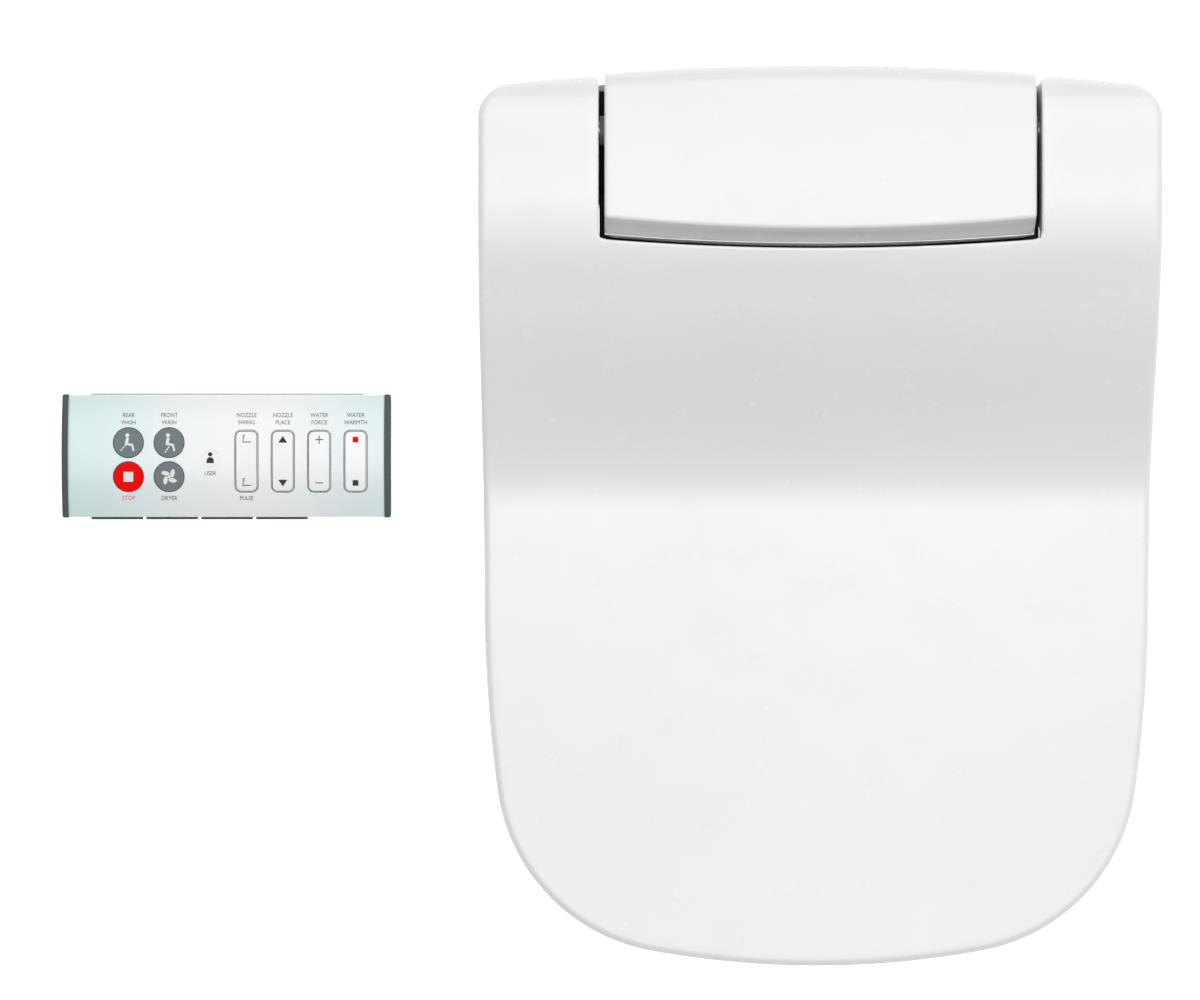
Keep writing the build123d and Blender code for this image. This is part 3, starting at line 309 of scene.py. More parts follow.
def face_with_painted_highlight(name, colours):
    """Remote's face: nearly white in the middle and cooler towards both ends, along X; the pale aqua at the ends is
    the face's own tint, and the whitening towards the middle is a painted highlight.
    """
    material, tree, shader = new_material(name, colours[1], 0.32, 0.1)
    place = tree.nodes.new("ShaderNodeTexCoord")
    split = tree.nodes.new("ShaderNodeSeparateXYZ")
    tree.links.new(place.outputs["Object"], split.inputs["Vector"])
    last = None
    for start, end, ends in ((-92.0, 0.0, colours[:2]), (20.0, 92.0, colours[1:])):
        ramp = tree.nodes.new("ShaderNodeMapRange")
        ramp.interpolation_type = "SMOOTHSTEP"
        ramp.inputs["From Min"].default_value = (REMOTE_X + start) * MM
        ramp.inputs["From Max"].default_value = (REMOTE_X + end) * MM
        tree.links.new(split.outputs["X"], ramp.inputs["Value"])
        mix = tree.nodes.new("ShaderNodeMix")
        mix.data_type = "RGBA"
        mix.inputs[6].default_value = (*ends[0], 1.0)
        mix.inputs[7].default_value = (*ends[1], 1.0)
        if last is not None:
            tree.links.new(last, mix.inputs[6])
        tree.links.new(ramp.outputs["Result"], mix.inputs[0])
        last = mix.outputs[2]
    tree.links.new(last, shader.inputs["Base Color"])
    gloss = object_noise(tree, 60.0, 3.0)
    tree.links.new(spread(tree, gloss, 0.27, 0.37), shader.inputs["Roughness"])
    return material


FINISHES = {
    "white_gloss": lambda c: moulded("white_gloss", c.shell, 0.25),
    "white_satin": lambda c: moulded("white_satin", c.shell, 0.5),
    "inner_grey": lambda c: moulded("inner_grey", (0.42, 0.43, 0.44), 0.5),
    "inner_dark": lambda c: moulded("inner_dark", (0.03, 0.03, 0.033), 0.5),
    "steel": lambda c: metal("steel", (0.6, 0.6, 0.61), 0.28, (12, 1, 1)),
    "brass": lambda c: metal("brass", (0.72, 0.52, 0.24), 0.3),
    "rubber": lambda c: moulded("rubber", (0.02, 0.02, 0.021), 0.75, grain=500.0, depth=0.00002, specular=0.2),
    "board": lambda c: circuit_board("board", (0.015, 0.13, 0.05)),
    "foil": lambda c: metal("foil", (0.8, 0.79, 0.76), 0.35, (1, 8, 1)),
    "wand": lambda c: moulded("wand", (0.78, 0.79, 0.8), 0.18, 0.4),
    "nylon": lambda c: moulded("nylon", (0.74, 0.73, 0.68), 0.45),
    "hose": lambda c: moulded("hose", (0.55, 0.57, 0.58), 0.4),
    "remote_white": lambda c: moulded("remote_white", c.remote, 0.3, 0.15),
    # The face's colour runs from its own pale aqua at the ends to a painted highlight in the middle.
    "remote_panel": lambda c: face_with_painted_highlight("remote_panel", (c.remote, c.remote_middle, c.remote_right)),
    "print_grey": lambda c: moulded("print_grey", c.print_grey, 0.6, specular=0.1),
    "print_white": lambda c: moulded("print_white", (0.9, 0.9, 0.9), 0.5),
    "print_red": lambda c: moulded("print_red", c.stop, 0.6, specular=0.0),
    "remote_grey": lambda c: moulded("remote_grey", c.trim, 0.6, specular=0.03),
    "key_grey": lambda c: moulded("key_grey", c.key, 0.6, specular=0.04),
    "key_red": lambda c: moulded("key_red", c.stop, 0.6, specular=0.0),
    "key_white": lambda c: moulded("key_white", c.remote_middle, 0.32),
    "ir": lambda c: moulded("ir", (0.5, 0.52, 0.53), 0.3),
    "cell": lambda c: metal("cell", (0.3, 0.31, 0.33), 0.4),
}


def finish_material(name):
    """The named finish, made on first use; its prefix keeps it apart from the frame's own materials."""
    found = bpy.data.materials.get(FINISH_PREFIX + name)
    if found is None:
        found = FINISHES[name](bpy.context.scene.bidet_colours)
    return found


# ------------------------------------------------------------------ lid
def lid_height(y):
    """Height of the lid along Y: gently falling deck, long slope, high ears, low tail, rounded rear."""
    z = DECK_Z
    for rise, start, length in LID_STEPS:
        z = z + rise * smooth((y - start) / length)
    rear = TAIL_Z + np.sqrt(np.maximum(TAIL_R ** 2 - (np.clip(y, TAIL_Y, None) - TAIL_Y) ** 2, 0.0))
    return np.where(y > TAIL_Y, rear, z)


def lid_lower(y, notch):
    """Lower edge of the lid: skirt, step up to the ears, arc about the hinge; high at the notch."""
    behind = np.clip(y - HINGE_Y, 0.0, EAR_REACH)
    arc = HINGE_Z - np.sqrt(EAR_CLEAR_R ** 2 - behind ** 2)
    outer = np.where(y > HINGE_Y, arc, SKIRT_Z + SKIRT_STEP * smooth((y - SKIRT_STEP_Y) / SKIRT_STEP_LENGTH))
    flange = FLANGE_Z - FLANGE_DROP * smooth((y - FLANGE_Y) / FLANGE_LENGTH)
    return np.where(notch & (y < FLANGE_END_Y), flange, outer)


def lid_outline():
    """Dense lines of the right half of the lid's plan, in travel order with the lid on the left."""
    a, b = radians(FRONT_ARC_END), radians(CORNER_ARC_END)
    mid = radians((FRONT_ARC_END + CORNER_ARC_END) / 2)
    front = np.array([0.0, FRONT_Y + FRONT_ARC_R])
    corner = front + np.array([np.sin(a), -np.cos(a)]) * (FRONT_ARC_R - CORNER_ARC_R)
    side = corner + np.array([np.sin(b), -np.cos(b)]) * (CORNER_ARC_R - SIDE_ARC_R)
    nose = arc_points(front, FRONT_ARC_R, 0, a, 400)
    first = arc_points(corner, CORNER_ARC_R, a, mid, 400)
    second = arc_points(corner, CORNER_ARC_R, mid, b, 400)
    flank = arc_points(side, SIDE_ARC_R, b, pi / 2, 400)
    t = np.linspace(0, 1, 400)[:, None]
    run = WAIST_Y - flank[-1, 1]
    waist = np.c_[flank[-1, 0] + (HALF_REAR - flank[-1, 0]) * smooth(t), flank[-1, 1] + run * t]
    rear_centre = np.array([0.0, REAR_Y - REAR_ARC_R])
    inner = np.array([HALF_REAR - REAR_CORNER_R, 0.0])
    inner[1] = rear_centre[1] + sqrt((REAR_ARC_R - REAR_CORNER_R) ** 2 - inner[0] ** 2)
    turn = pi - np.arctan2(inner[0], inner[1] - rear_centre[1])
    outer_corner = arc_points(inner, REAR_CORNER_R, pi / 2, turn, 400)
    nook = np.array([NOTCH_X + NOTCH_REAR_R, 0.0])
    nook[1] = rear_centre[1] + sqrt((REAR_ARC_R - NOTCH_REAR_R) ** 2 - nook[0] ** 2)
    nook_turn = pi - np.arctan2(nook[0], nook[1] - rear_centre[1])
    inner_corner = arc_points(nook, NOTCH_REAR_R, nook_turn, 1.5 * pi, 400)
    rear = arc_points(rear_centre, REAR_ARC_R, turn, nook_turn, 400)
    bow_r = (NOTCH_X ** 2 + NOTCH_BOW ** 2) / (2 * NOTCH_BOW)
    bow_centre = np.array([0.0, NOTCH_Y + bow_r])
    bend = np.array([NOTCH_X - NOTCH_FRONT_R, 0.0])
    bend[1] = bow_centre[1] - sqrt((bow_r - NOTCH_FRONT_R) ** 2 - bend[0] ** 2)
    bend_turn = np.arctan2(bend[0], bow_centre[1] - bend[1])
    turned_in = arc_points(bend, NOTCH_FRONT_R, pi / 2, bend_turn, 400)
    bow = arc_points(bow_centre, bow_r, bend_turn, 0, 400)
    return {
        "front": joined(nose, first),
        "front_split": arc_length(nose)[-1],
        "side": joined(second, flank, waist, straight(waist[-1], outer_corner[0]), outer_corner[:200]),
        "rear": joined(outer_corner[199:], rear, inner_corner[:200]),
        "inner": joined(inner_corner[199:], straight(inner_corner[-1], turned_in[0]), turned_in[:200]),
        "notch": joined(turned_in[199:], bow),
    }


def lid_loops():
    """Outline points, inward normals and rim radii of the right half, in the order of the patches."""
    lines = lid_outline()
    across, band, along, ear = 30, 22, 116, 40
    front, split = lines["front"], lines["front_split"]
    key = arc_length(front)
    p_nose = sampled(front, key, np.linspace(0, split, across))
    p_corner = sampled(front, key, np.linspace(split, key[-1], band))
    lower_end, upper_end = lines["inner"][-1], lines["inner"][0]
    u = np.linspace(0, 1, along)
    spine_y = p_nose[-1, 1] + (lower_end[1] - p_nose[-1, 1]) * u
    v = 1 - (1 - np.linspace(0, 1, ear)) ** 1.7
    ear_y = lower_end[1] + (upper_end[1] - lower_end[1]) * v
    left_y = np.r_[spine_y, ear_y[1:]]
    side = lines["side"]
    share = (left_y - left_y[0]) / (left_y[-1] - left_y[0])
    p_side = sampled(side, side[:, 1], side[0, 1] + (side[-1, 1] - side[0, 1]) * share)
    rear, notch, inner = lines["rear"], lines["notch"], lines["inner"]
    p_rear = sampled(rear, arc_length(rear), np.linspace(0, arc_length(rear)[-1], band))
    p_inner = sampled(inner, -inner[:, 1], -ear_y[::-1])
    p_notch = sampled(notch, arc_length(notch), np.linspace(0, arc_length(notch)[-1], across))
    p_nose[0, 2:] = (0.0, 1.0)
    p_notch[-1, 2:] = (0.0, -1.0)
    p_notch[-1, 0] = p_nose[0, 0] = 0.0
    p_corner[0], p_side[0], p_rear[0] = p_nose[-1], p_corner[-1], p_side[-1]
    p_inner[0], p_notch[0] = p_rear[-1], p_inner[-1]
    return p_nose, p_corner, p_side, p_rear, p_inner, p_notch, u


def lid_builder(rim, notch_rim, wall, edge):
    """Top and underside patches over the plan, with rim, walls and lower edge as one strip.

    Patch points are Coons patches of the outline moved inwards along its normals, and their
    height is lid_height(y). The strip takes every outline point down a quarter circle of the rim
    radius, down the wall, round the lower edge and up the inside of the wall.
    """
    p_nose, p_corner, p_side, p_rear, p_inner, p_notch, u = lid_loops()
    parts = [p_nose, p_corner[1:], p_side[1:], p_rear[1:], p_inner[1:], p_notch[1:]]
    loop = np.vstack(parts)
    ends = np.cumsum([len(p) for p in parts]) - 1
    place = np.arange(len(loop))
    middle_rear = ends[3]
    blend = smooth((place - (middle_rear - 8)) / 8.0)
    radius = rim + (notch_rim - rim) * blend
    is_notch = place > middle_rear
    work = Builder()

    def moved(inset):
        return loop[:, :2] + loop[:, 2:] * np.broadcast_to(inset, len(loop))[:, None]

    def patches(inset, drop):
        line = moved(inset)
        e = ends
        nose, corner, side = line[:e[0] + 1], line[e[0]:e[1] + 1], line[e[1]:e[2] + 1]
        rear, inner, notch = line[e[2]:e[3] + 1], line[e[3]:e[4] + 1], line[e[4]:e[5] + 1]
        spine = nose[-1] + (inner[-1] - nose[-1]) * u[:, None]
        centre = np.c_[np.zeros(len(u)), nose[0, 1] + (notch[-1, 1] - nose[0, 1]) * u]
        for plan in (coons(nose, notch[::-1], centre, spine),
                     coons(corner, rear[::-1], np.vstack([spine, inner[::-1][1:]]), side)):
            work.grid(raised(plan, lid_height(plan[..., 1]) - drop))

    patches(radius, 0.0)
    patches(wall, wall)
    rows = []
    for t in np.linspace(0, pi / 2, 8):
        line = moved(radius * (1 - np.sin(t)))
        rows.append(raised(line, lid_height(line[:, 1]) - radius * (1 - np.cos(t))))
    outer = moved(0.0)
    top, low = lid_height(outer[:, 1]) - radius, lid_lower(outer[:, 1], is_notch)
    low = np.minimum(low, top - 1.2)
    rows.append(raised(outer, np.maximum(top - 0.4, low + edge + 0.1)))
    for share in (0.3, 0.6, 0.9):
        rows.append(raised(outer, top + (low + edge - top) * share))
    for t in np.linspace(0, pi / 2, 4):
        rows.append(raised(moved(edge * (1 - np.cos(t))), low + edge * (1 - np.sin(t))))
    for t in np.linspace(pi / 2, 0, 4):
        rows.append(raised(moved(wall - edge * (1 - np.cos(t))), low + edge * (1 - np.sin(t))))
    inside = moved(wall)
    roof = lid_height(inside[:, 1]) - wall
    for share in (0.5, 1.0):
        rows.append(raised(inside, low + edge + (roof - low - edge) * share))
    work.grid(np.array(rows))
    work.mirrored_x()
    return work


# ------------------------------------------------------------------ housing cover
def dome_height(y):
    """Crown of the cover: a parabola that falls from its highest line by one drop in one length."""
    return CROWN_Z - CROWN_DROP * ((y - CROWN_Y) / CROWN_LENGTH) ** 2


def cover_builder(lip_round, end_round):
    """Closed profiles in Y and Z set across X: leaning lip, crown, rounded rear and flat bottom.

    At both ends the profiles move inwards along a quarter circle and close on their middle.
    """
    low, high = node_box("housing_cover")
    half, bottom = high[0], low[2]
    t = np.linspace(0, pi / 2, 7)
    x_end, inset_end = half - end_round * (1 - np.sin(t)), end_round * (1 - np.cos(t))
    x = np.r_[-x_end[::-1], np.linspace(-half + end_round, half - end_round, 60)[1:-1], x_end]
    inset = np.r_[inset_end[::-1], np.zeros(58), inset_end]
    rows = []
    for xi, d in zip(x, inset):
        share = (xi / half) ** 2
        foot, lip = FOOT_Y + FOOT_BOW * share + d, LIP_Y + LIP_BOW * share + d
        rear = REAR_Y - (REAR_ARC_R - sqrt(REAR_ARC_R ** 2 - xi ** 2))
        lip_z = dome_height(lip) - d
        angle = np.arctan2(lip_z - bottom, lip - foot)
        up = np.array([np.cos(angle), np.sin(angle)])
        start = np.array([lip, lip_z]) - up * lip_round
        bend = [(1 - s) ** 2 * start + 2 * s * (1 - s) * np.array([lip, lip_z])
                + s * s * np.array([lip + lip_round * 1.3, dome_height(lip + lip_round * 1.3) - d])
                for s in np.linspace(0, 1, 7)]
        face = [np.array([foot, bottom]) + (start - (foot, bottom)) * s for s in (0.0, 0.03, 0.35, 0.7, 0.96)]
        crown_y = np.linspace(lip + lip_round * 1.3, rear - COVER_REAR_R, 40)[1:]
        crown = np.c_[crown_y, dome_height(crown_y) - d]
        turn = np.linspace(0, pi / 2, 10)[1:]
        corner = np.c_[rear - COVER_REAR_R + (COVER_REAR_R - d) * np.sin(turn),
                       crown[-1, 1] - COVER_REAR_R + COVER_REAR_R * np.cos(turn)]
        wall = [(rear - d, bottom + 1.0), (rear - d, bottom)]
        base = [(rear - d - (rear - d - foot) * s, bottom) for s in (0.03, 0.35, 0.65, 0.97)]
        profile = np.vstack([face, bend, crown, corner, wall, base])
        rows.append(np.c_[np.full(len(profile), xi), profile])
    rows = np.array(rows)
    middle = rows.mean(axis=1, keepdims=True)
    ends = [rows[:1] + (middle[:1] - rows[:1]) * s for s in (1.0, 0.5, 0.03)]
    tails = [rows[-1:] + (middle[-1:] - rows[-1:]) * s for s in (0.03, 0.5, 1.0)]
    work = Builder()
    work.grid(np.concatenate([*ends, rows, *tails]), closed=True)
    return work


def shade_strip_builder(width, side_width):
    """Dark strip round the front and the sides of the housing, in the rubber finish: painted shade that stands in
    for the shadowed gap under the cover's lip and beside the cover.

    Its plan follows the housing's bowed front and its side walls. The section is a rectangle of
    the given widths: its foot stands at one height, and its top is low along the front, tall at
    the two front corners and level along the sides.
    """
    x = np.linspace(0, 1, 60)
    side = np.array([46.0, 10.0, -10.0, -14.0, -30.0])
    inner = np.vstack([np.c_[np.full(len(side), -SHADE_STRIP_X), side],
                       np.c_[SHADE_STRIP_X * (2 * x - 1), SHADE_STRIP_Y + SHADE_STRIP_BOW * (2 * x - 1) ** 2],
                       np.c_[np.full(len(side), SHADE_STRIP_X), side[::-1]]])
    beside = np.abs(inner[:, 0]) > SHADE_STRIP_X - 0.01
    outer = inner.copy()
    outer[:, 0] += np.where(beside, np.sign(inner[:, 0]) * side_width, 0)
    outer[:, 1] -= np.where(inner[:, 1] < side[-1], width, 0)
    high = np.where(beside, np.where(inner[:, 1] < -12.0, SHADE_STRIP_CORNER, SHADE_STRIP_SIDE), SHADE_STRIP_FRONT)
    section = [raised(inner, high), raised(outer, high - 0.3), raised(outer, SHADE_STRIP_FOOT), raised(inner, SHADE_STRIP_FOOT)]
    rows = np.array(section + section[:1])
    work = Builder()
    work.grid(rows)
    for end in (0, -1):
        work.add(rows[:4, end], np.array([[0, 1, 2, 3]]))
    return work


# ------------------------------------------------------------------ remote control
def remote_height(y):
    """Circle through the remote's two upper edges and its crown; y is from its centreline."""
    rise = REMOTE_TOP - REMOTE_EDGE
    radius = (REMOTE_HALF ** 2 + rise ** 2) / (2 * rise)
    return REMOTE_TOP - radius + np.sqrt(radius ** 2 - y ** 2)


def outline_reach(direction, a, b, corner):
    """Distance from the centre of a rounded rectangle, half sizes a and b, to its edge.

    Found by halving the interval in which the signed distance changes its sign.
    """
    low, high = np.zeros(len(direction)), np.full(len(direction), a + b)
    for _ in range(40):
        mid = (low + high) / 2
        q = np.abs(direction * mid[:, None]) - (a - corner, b - corner)
        outside = np.linalg.norm(np.maximum(q, 0), axis=1) + np.minimum(q.max(axis=1), 0) - corner > 0
        high, low = np.where(outside, mid, high), np.where(outside, low, mid)
    return (low + high) / 2


def holed_face(half_x, holes, thick, edge):
    """Convex sheet with openings, as a grid whose blocks round the openings are rings.

    holes are (x, y, half width, half length, corner, block x0, x1, y0, y1, edge radius). Points
    keep the height remote_height(y); the openings' edges sink round a quarter circle.
    """
    def lines(stops, pitch):
        parts = [np.linspace(p, q, max(2, int((q - p) / pitch) + 1)) for p, q in zip(stops[:-1], stops[1:])]
        return np.unique(np.round(np.concatenate(parts), 5))

    xs = lines(sorted({-half_x, half_x, *[h[5] for h in holes], *[h[6] for h in holes]}), 1.4)
    fine = [REMOTE_HALF - edge + edge * np.sin(t) for t in np.linspace(0.3, pi / 2, 6)]
    stops = sorted({-REMOTE_HALF + edge, REMOTE_HALF - edge, *[h[7] for h in holes], *[h[8] for h in holes]})
    ys = np.r_[-np.array(fine)[::-1], lines(stops, 1.4), fine]

    def height(y):
        over = np.clip(np.abs(y) - (REMOTE_HALF - edge), 0, edge)
        return remote_height(y) - edge + np.sqrt(edge ** 2 - over ** 2)

    gx, gy = np.meshgrid(xs, ys, indexing="ij")
    columns = len(ys)
    keep = np.ones((len(xs) - 1, len(ys) - 1), bool)
    blocks = []
    for x, y, a, b, corner, x0, x1, y0, y1, soft in holes:
        i0, i1 = np.searchsorted(xs, [x0 - 0.001, x1 - 0.001])
        j0, j1 = np.searchsorted(ys, [y0 - 0.001, y1 - 0.001])
        keep[i0:i1, j0:j1] = False
        ring = ([(i, j0) for i in range(i0, i1)] + [(i1, j) for j in range(j0, j1)]
                + [(i, j1) for i in range(i1, i0, -1)] + [(i0, j) for j in range(j1, j0, -1)])
        blocks.append((np.array(ring), np.array([x, y]), (a, b, corner), soft))
    i, j = np.nonzero(keep)
    quads = np.stack([i * columns + j, (i + 1) * columns + j, (i + 1) * columns + j + 1, i * columns + j + 1], -1)
    work = Builder()
    flat = np.stack([gx, gy], -1)
    for drop, order in ((0.0, 1), (thick, -1)):
        work.add(raised(flat, height(gy) - drop).reshape(-1, 3), quads[:, ::order])
    for ring, centre, shape, soft in blocks:
        outer = flat[ring[:, 0], ring[:, 1]]
        away = outer - centre
        away /= np.linalg.norm(away, axis=1)[:, None]
        reach = outline_reach(away, *shape)
        hole = centre + away * reach[:, None]
        rows = []
        rim = centre + away * (reach + soft)[:, None]
        for s in (0.0, 0.5, 1.0):
            plan = outer + (rim - outer) * s
            rows.append(raised(plan, height(plan[:, 1])))
        for t in np.linspace(0, pi / 2, 5)[1:]:
            plan = centre + away * (reach + soft * (1 - np.sin(t)))[:, None]
            rows.append(raised(plan, height(plan[:, 1]) - soft * (1 - np.cos(t))))
        rows.append(raised(hole, height(hole[:, 1]) - thick))
        rows.append(raised(outer, height(outer[:, 1]) - thick))
        work.grid(np.array(rows), closed=True)
    rim = np.concatenate([flat[:-1, 0], flat[-1, :-1], flat[:0:-1, -1], flat[0, :0:-1]])
    rows = [raised(rim, height(rim[:, 1]) - drop) for drop in (0.0, thick)]
    work.grid(np.array(rows), closed=True)
    return work


def key_builder(x, y, a, b, corner, proud, edge, dish=0.0):
    """Key cap: rings of a rounded rectangle, flush with the remote's crown and proud of it.

    Rings shrink towards the centre by a share; the rim is a quarter circle and the foot is flat.
    """
    angle = np.linspace(0, 2 * pi, 97)[:-1]
    away = np.c_[np.cos(angle) * a, np.sin(angle) * b]
    away /= np.linalg.norm(away, axis=1)[:, None]
    reach = outline_reach(away, a, b, corner)
    rows = []
    for share in (0.0, 0.25, 0.5, 0.75, 0.9):
        plan = away * ((reach - edge) * share)[:, None] + (x, y)
        rows.append(raised(plan, remote_height(plan[:, 1]) + proud - dish * (1 - share ** 2)))
    for t in np.linspace(0, pi / 2, 6):
        plan = away * (reach - edge * (1 - np.sin(t)))[:, None] + (x, y)
        rows.append(raised(plan, remote_height(plan[:, 1]) + proud - edge * (1 - np.cos(t))))
    plan = away * reach[:, None] + (x, y)
    rows += [raised(plan, KEY_LOW), raised(plan * 0 + (x, y), KEY_LOW)]
    work = Builder()
    work.grid(np.array(rows), closed=True)
    return work


def shifted(work, x, y):
    work.points = [p + (x, y, 0) for p in work.points]
    return work


class Print(Builder):
    """Thin flat marks that lie on the remote's crown; places are from the remote's middle."""

    def __init__(self, lift):
        super().__init__()
        self.lift = lift

    def placed(self, plan):
        plan = np.asarray(plan, float)
        return raised(plan, remote_height(plan[:, 1]) + self.lift) + (REMOTE_X, REMOTE_Y, 0)

    def shape(self, plan):
        """One filled outline, turned counter-clockwise."""
        plan = np.asarray(plan, float)
        x, y = plan.T
        if np.sum(x * np.roll(y, -1) - y * np.roll(x, -1)) < 0:
            plan = plan[::-1]
        self.add(self.placed(plan), np.arange(len(plan))[None])

    def disc(self, x, y, radius, squash=1.0, turn=0.0):
        t = np.linspace(0, 2 * pi, 33)[:-1]
        p = np.c_[radius * np.cos(t), radius * squash * np.sin(t)]
        c, w = np.cos(turn), np.sin(turn)
        self.shape(p @ np.array([[c, w], [-w, c]]) + (x, y))

    def bar(self, start, end, width):
        """Stroke with round ends."""
        start, end = np.array(start, float), np.array(end, float)
        angle = np.arctan2(*(end - start)[::-1])
        t = np.linspace(-pi / 2, pi / 2, 9)
        ends = [c + width / 2 * np.c_[np.cos(a), np.sin(a)] for c, a in ((end, angle + t), (start, angle + pi + t))]
        self.shape(np.vstack(ends))

    def rect(self, x, y, width, height):
        self.shape([(x - width / 2, y - height / 2), (x + width / 2, y - height / 2),
                    (x + width / 2, y + height / 2), (x - width / 2, y + height / 2)])

    def frame(self, x, y, a, b, corner, width):
        """Outline of a rounded rectangle, as a ring."""
        angle = np.linspace(0, 2 * pi, 121)[:-1]
        away = np.c_[np.cos(angle) * a, np.sin(angle) * b]
        away /= np.linalg.norm(away, axis=1)[:, None]
        rings = [away * outline_reach(away, a - d, b - d, corner - d)[:, None] + (x, y) for d in (0, width)]
        self.grid(np.array([self.placed(r) for r in rings]), closed=True)

    def text(self, words, x, y, size):
        """Short generic word, centred, from the built-in font."""
        curve = bpy.data.curves.new("words", "FONT")
        curve.body, curve.size, curve.align_x, curve.resolution_u = words, size, "CENTER", 3
        carrier = bpy.data.objects.new("words", curve)
        bpy.context.scene.collection.objects.link(carrier)
        bpy.context.view_layer.update()
        mesh = bpy.data.meshes.new_from_object(carrier)
        flat = np.zeros(len(mesh.vertices) * 3)
        mesh.vertices.foreach_get("co", flat)
        flat = flat.reshape(-1, 3)[:, :2] * (0.86, 1.0) + (x, y)
        faces = [[v + self.count for v in poly.vertices] for poly in mesh.polygons]
        self.points.append(self.placed(flat))
        self.faces += faces
        self.count += len(flat)
        bpy.data.objects.remove(carrier)
        bpy.data.meshes.remove(mesh)
        bpy.data.curves.remove(curve)

    def marks(self, name, finish, body, slot):
        made = self.piece(name, finish_material(finish), body, slot, merge=0.0005)
        flat = np.zeros(len(made.data.polygons) * 3)
        made.data.polygons.foreach_get("normal", flat)
        if flat.reshape(-1, 3)[:, 2].min() < 0:
            work = bmesh.new()
            work.from_mesh(made.data)
            work.normal_update()
            bmesh.ops.reverse_faces(work, faces=[f for f in work.faces if f.normal.z < 0])
            work.to_mesh(made.data)
            work.free()
        return made


KEY_LIFT, FACE_LIFT = 0.37, 0.05


def seated_figure(x, y, side):
    """White seated figure with a spray line below it; side turns it left or right."""
    marks = Print(KEY_LIFT)
    marks.disc(x - 0.6 * side, y + 4.3, 1.15)
    marks.bar((x - 0.5 * side, y + 2.2), (x - 1.1 * side, y - 0.6), 1.7)
    marks.bar((x - 1.1 * side, y - 0.7), (x + 2.3 * side, y - 1.3), 1.3)
    marks.bar((x + 2.3 * side, y - 1.3), (x + 3.0 * side, y - 4.4), 1.1)
    return marks


def remote_marks():
    """Symbols and generic words of the remote, each on the part that it moves with."""
    rear = seated_figure(-56.4, 7.6, 1)
    for step in range(3):
        rear.bar((-60.6 + 1.1 * step, 3.1 + 1.3 * step), (-60.2 + 1.1 * step, 3.6 + 1.3 * step), 0.7)
    rear.marks("rear_wash_symbol", "print_white", "rear_wash", "key_white")
    front = seated_figure(-32.9, 7.6, 1)
    for step in range(3):
        front.bar((-35.0 + 0.9 * step, 2.2 + 1.2 * step), (-34.7 + 0.9 * step, 2.7 + 1.2 * step), 0.7)
    front.marks("front_wash_symbol", "print_white", "front_wash", "key_white")
    stop = Print(KEY_LIFT)
    stop.rect(-56.4, -12.1, 5.6, 5.6)
    stop.marks("stop_symbol", "print_white", "stop", "key_white")
    dryer = Print(KEY_LIFT)
    for k in range(4):
        turn = radians(45 + 90 * k)
        dryer.disc(-32.9 + 2.9 * np.cos(turn), -12.1 + 2.9 * np.sin(turn), 2.4, 0.52, turn + 0.6)
    dryer.disc(-32.9, -12.1, 0.9)
    dryer.marks("dryer_symbol", "print_white", "dryer", "key_white")
    user = Print(0.07)
    user.disc(-9.1, 0.9, 1.25)
    user.shape([(-11.2, -4.2), (-7.0, -4.2), (-7.0, -2.4), (-7.7, -1.2), (-8.6, -0.8), (-9.6, -0.8),
                (-10.5, -1.2), (-11.2, -2.4)])
    user.marks("user_symbol", "print_grey", "user", "remote_grey")

    for name, x in (("oscillation", 11.8), ("position", 32.8), ("pressure", 53.8), ("temperature", 74.8)):
        marks, red = Print(KEY_LIFT), None
        marks.frame(x, -3.1, 6.28, 17.53, 3.1, 0.42)
        up, down = 9.4, -15.6
        if name == "oscillation":
            for y in (up, down):
                marks.bar((x - 2.3, y - 1.4), (x + 2.6, y - 1.4), 0.5)
                for step in range(4):
                    marks.bar((x - 1.9, y - 0.5 + 0.9 * step), (x - 1.9 + 0.25 * step, y - 0.2 + 0.9 * step), 0.55)
        elif name == "position":
            marks.shape([(x - 2.6, up - 1.8), (x + 2.6, up - 1.8), (x, up + 2.1)])
            marks.shape([(x - 2.6, down + 1.8), (x, down - 2.1), (x + 2.6, down + 1.8)])
        elif name == "pressure":
            marks.bar((x - 2.1, up), (x + 2.1, up), 0.55)
            marks.bar((x, up - 2.1), (x, up - 0.3), 0.55)
            marks.bar((x, up + 0.3), (x, up + 2.1), 0.55)
            marks.bar((x - 2.1, down), (x + 2.1, down), 0.55)
        else:
            red = Print(KEY_LIFT)
            red.rect(x, up, 3.3, 3.3)
            marks.rect(x, down, 3.3, 3.3)
        marks.marks(name + "_marks", "print_grey", name, "remote_grey")
        if red:
            red.marks(name + "_red_mark", "print_red", name, "key_red")

    words = Print(FACE_LIFT)
    for text, x, y in (("REAR", -56.4, 22.4), ("WASH", -56.4, 18.2), ("FRONT", -32.9, 22.4), ("WASH", -32.9, 18.2),
                       ("DRYER", -32.9, -25.6), ("USER", -9.1, -11.2), ("NOZZLE", 11.8, 22.4), ("SWING", 11.8, 18.2),
                       ("NOZZLE", 32.8, 22.4), ("PLACE", 32.8, 18.2), ("WATER", 53.8, 22.4), ("FORCE", 53.8, 18.2),
                       ("WATER", 74.8, 22.4), ("WARMTH", 74.8, 18.2), ("PULSE", 11.8, -25.6)):
        words.text(text, x, y, 3.5)
    words.marks("remote_words", "print_grey", "remote", "remote_grey")
    red = Print(FACE_LIFT)
    red.text("STOP", -56.4, -25.6, 3.7)
    red.marks("stop_word", "print_red", "remote", "key_red")


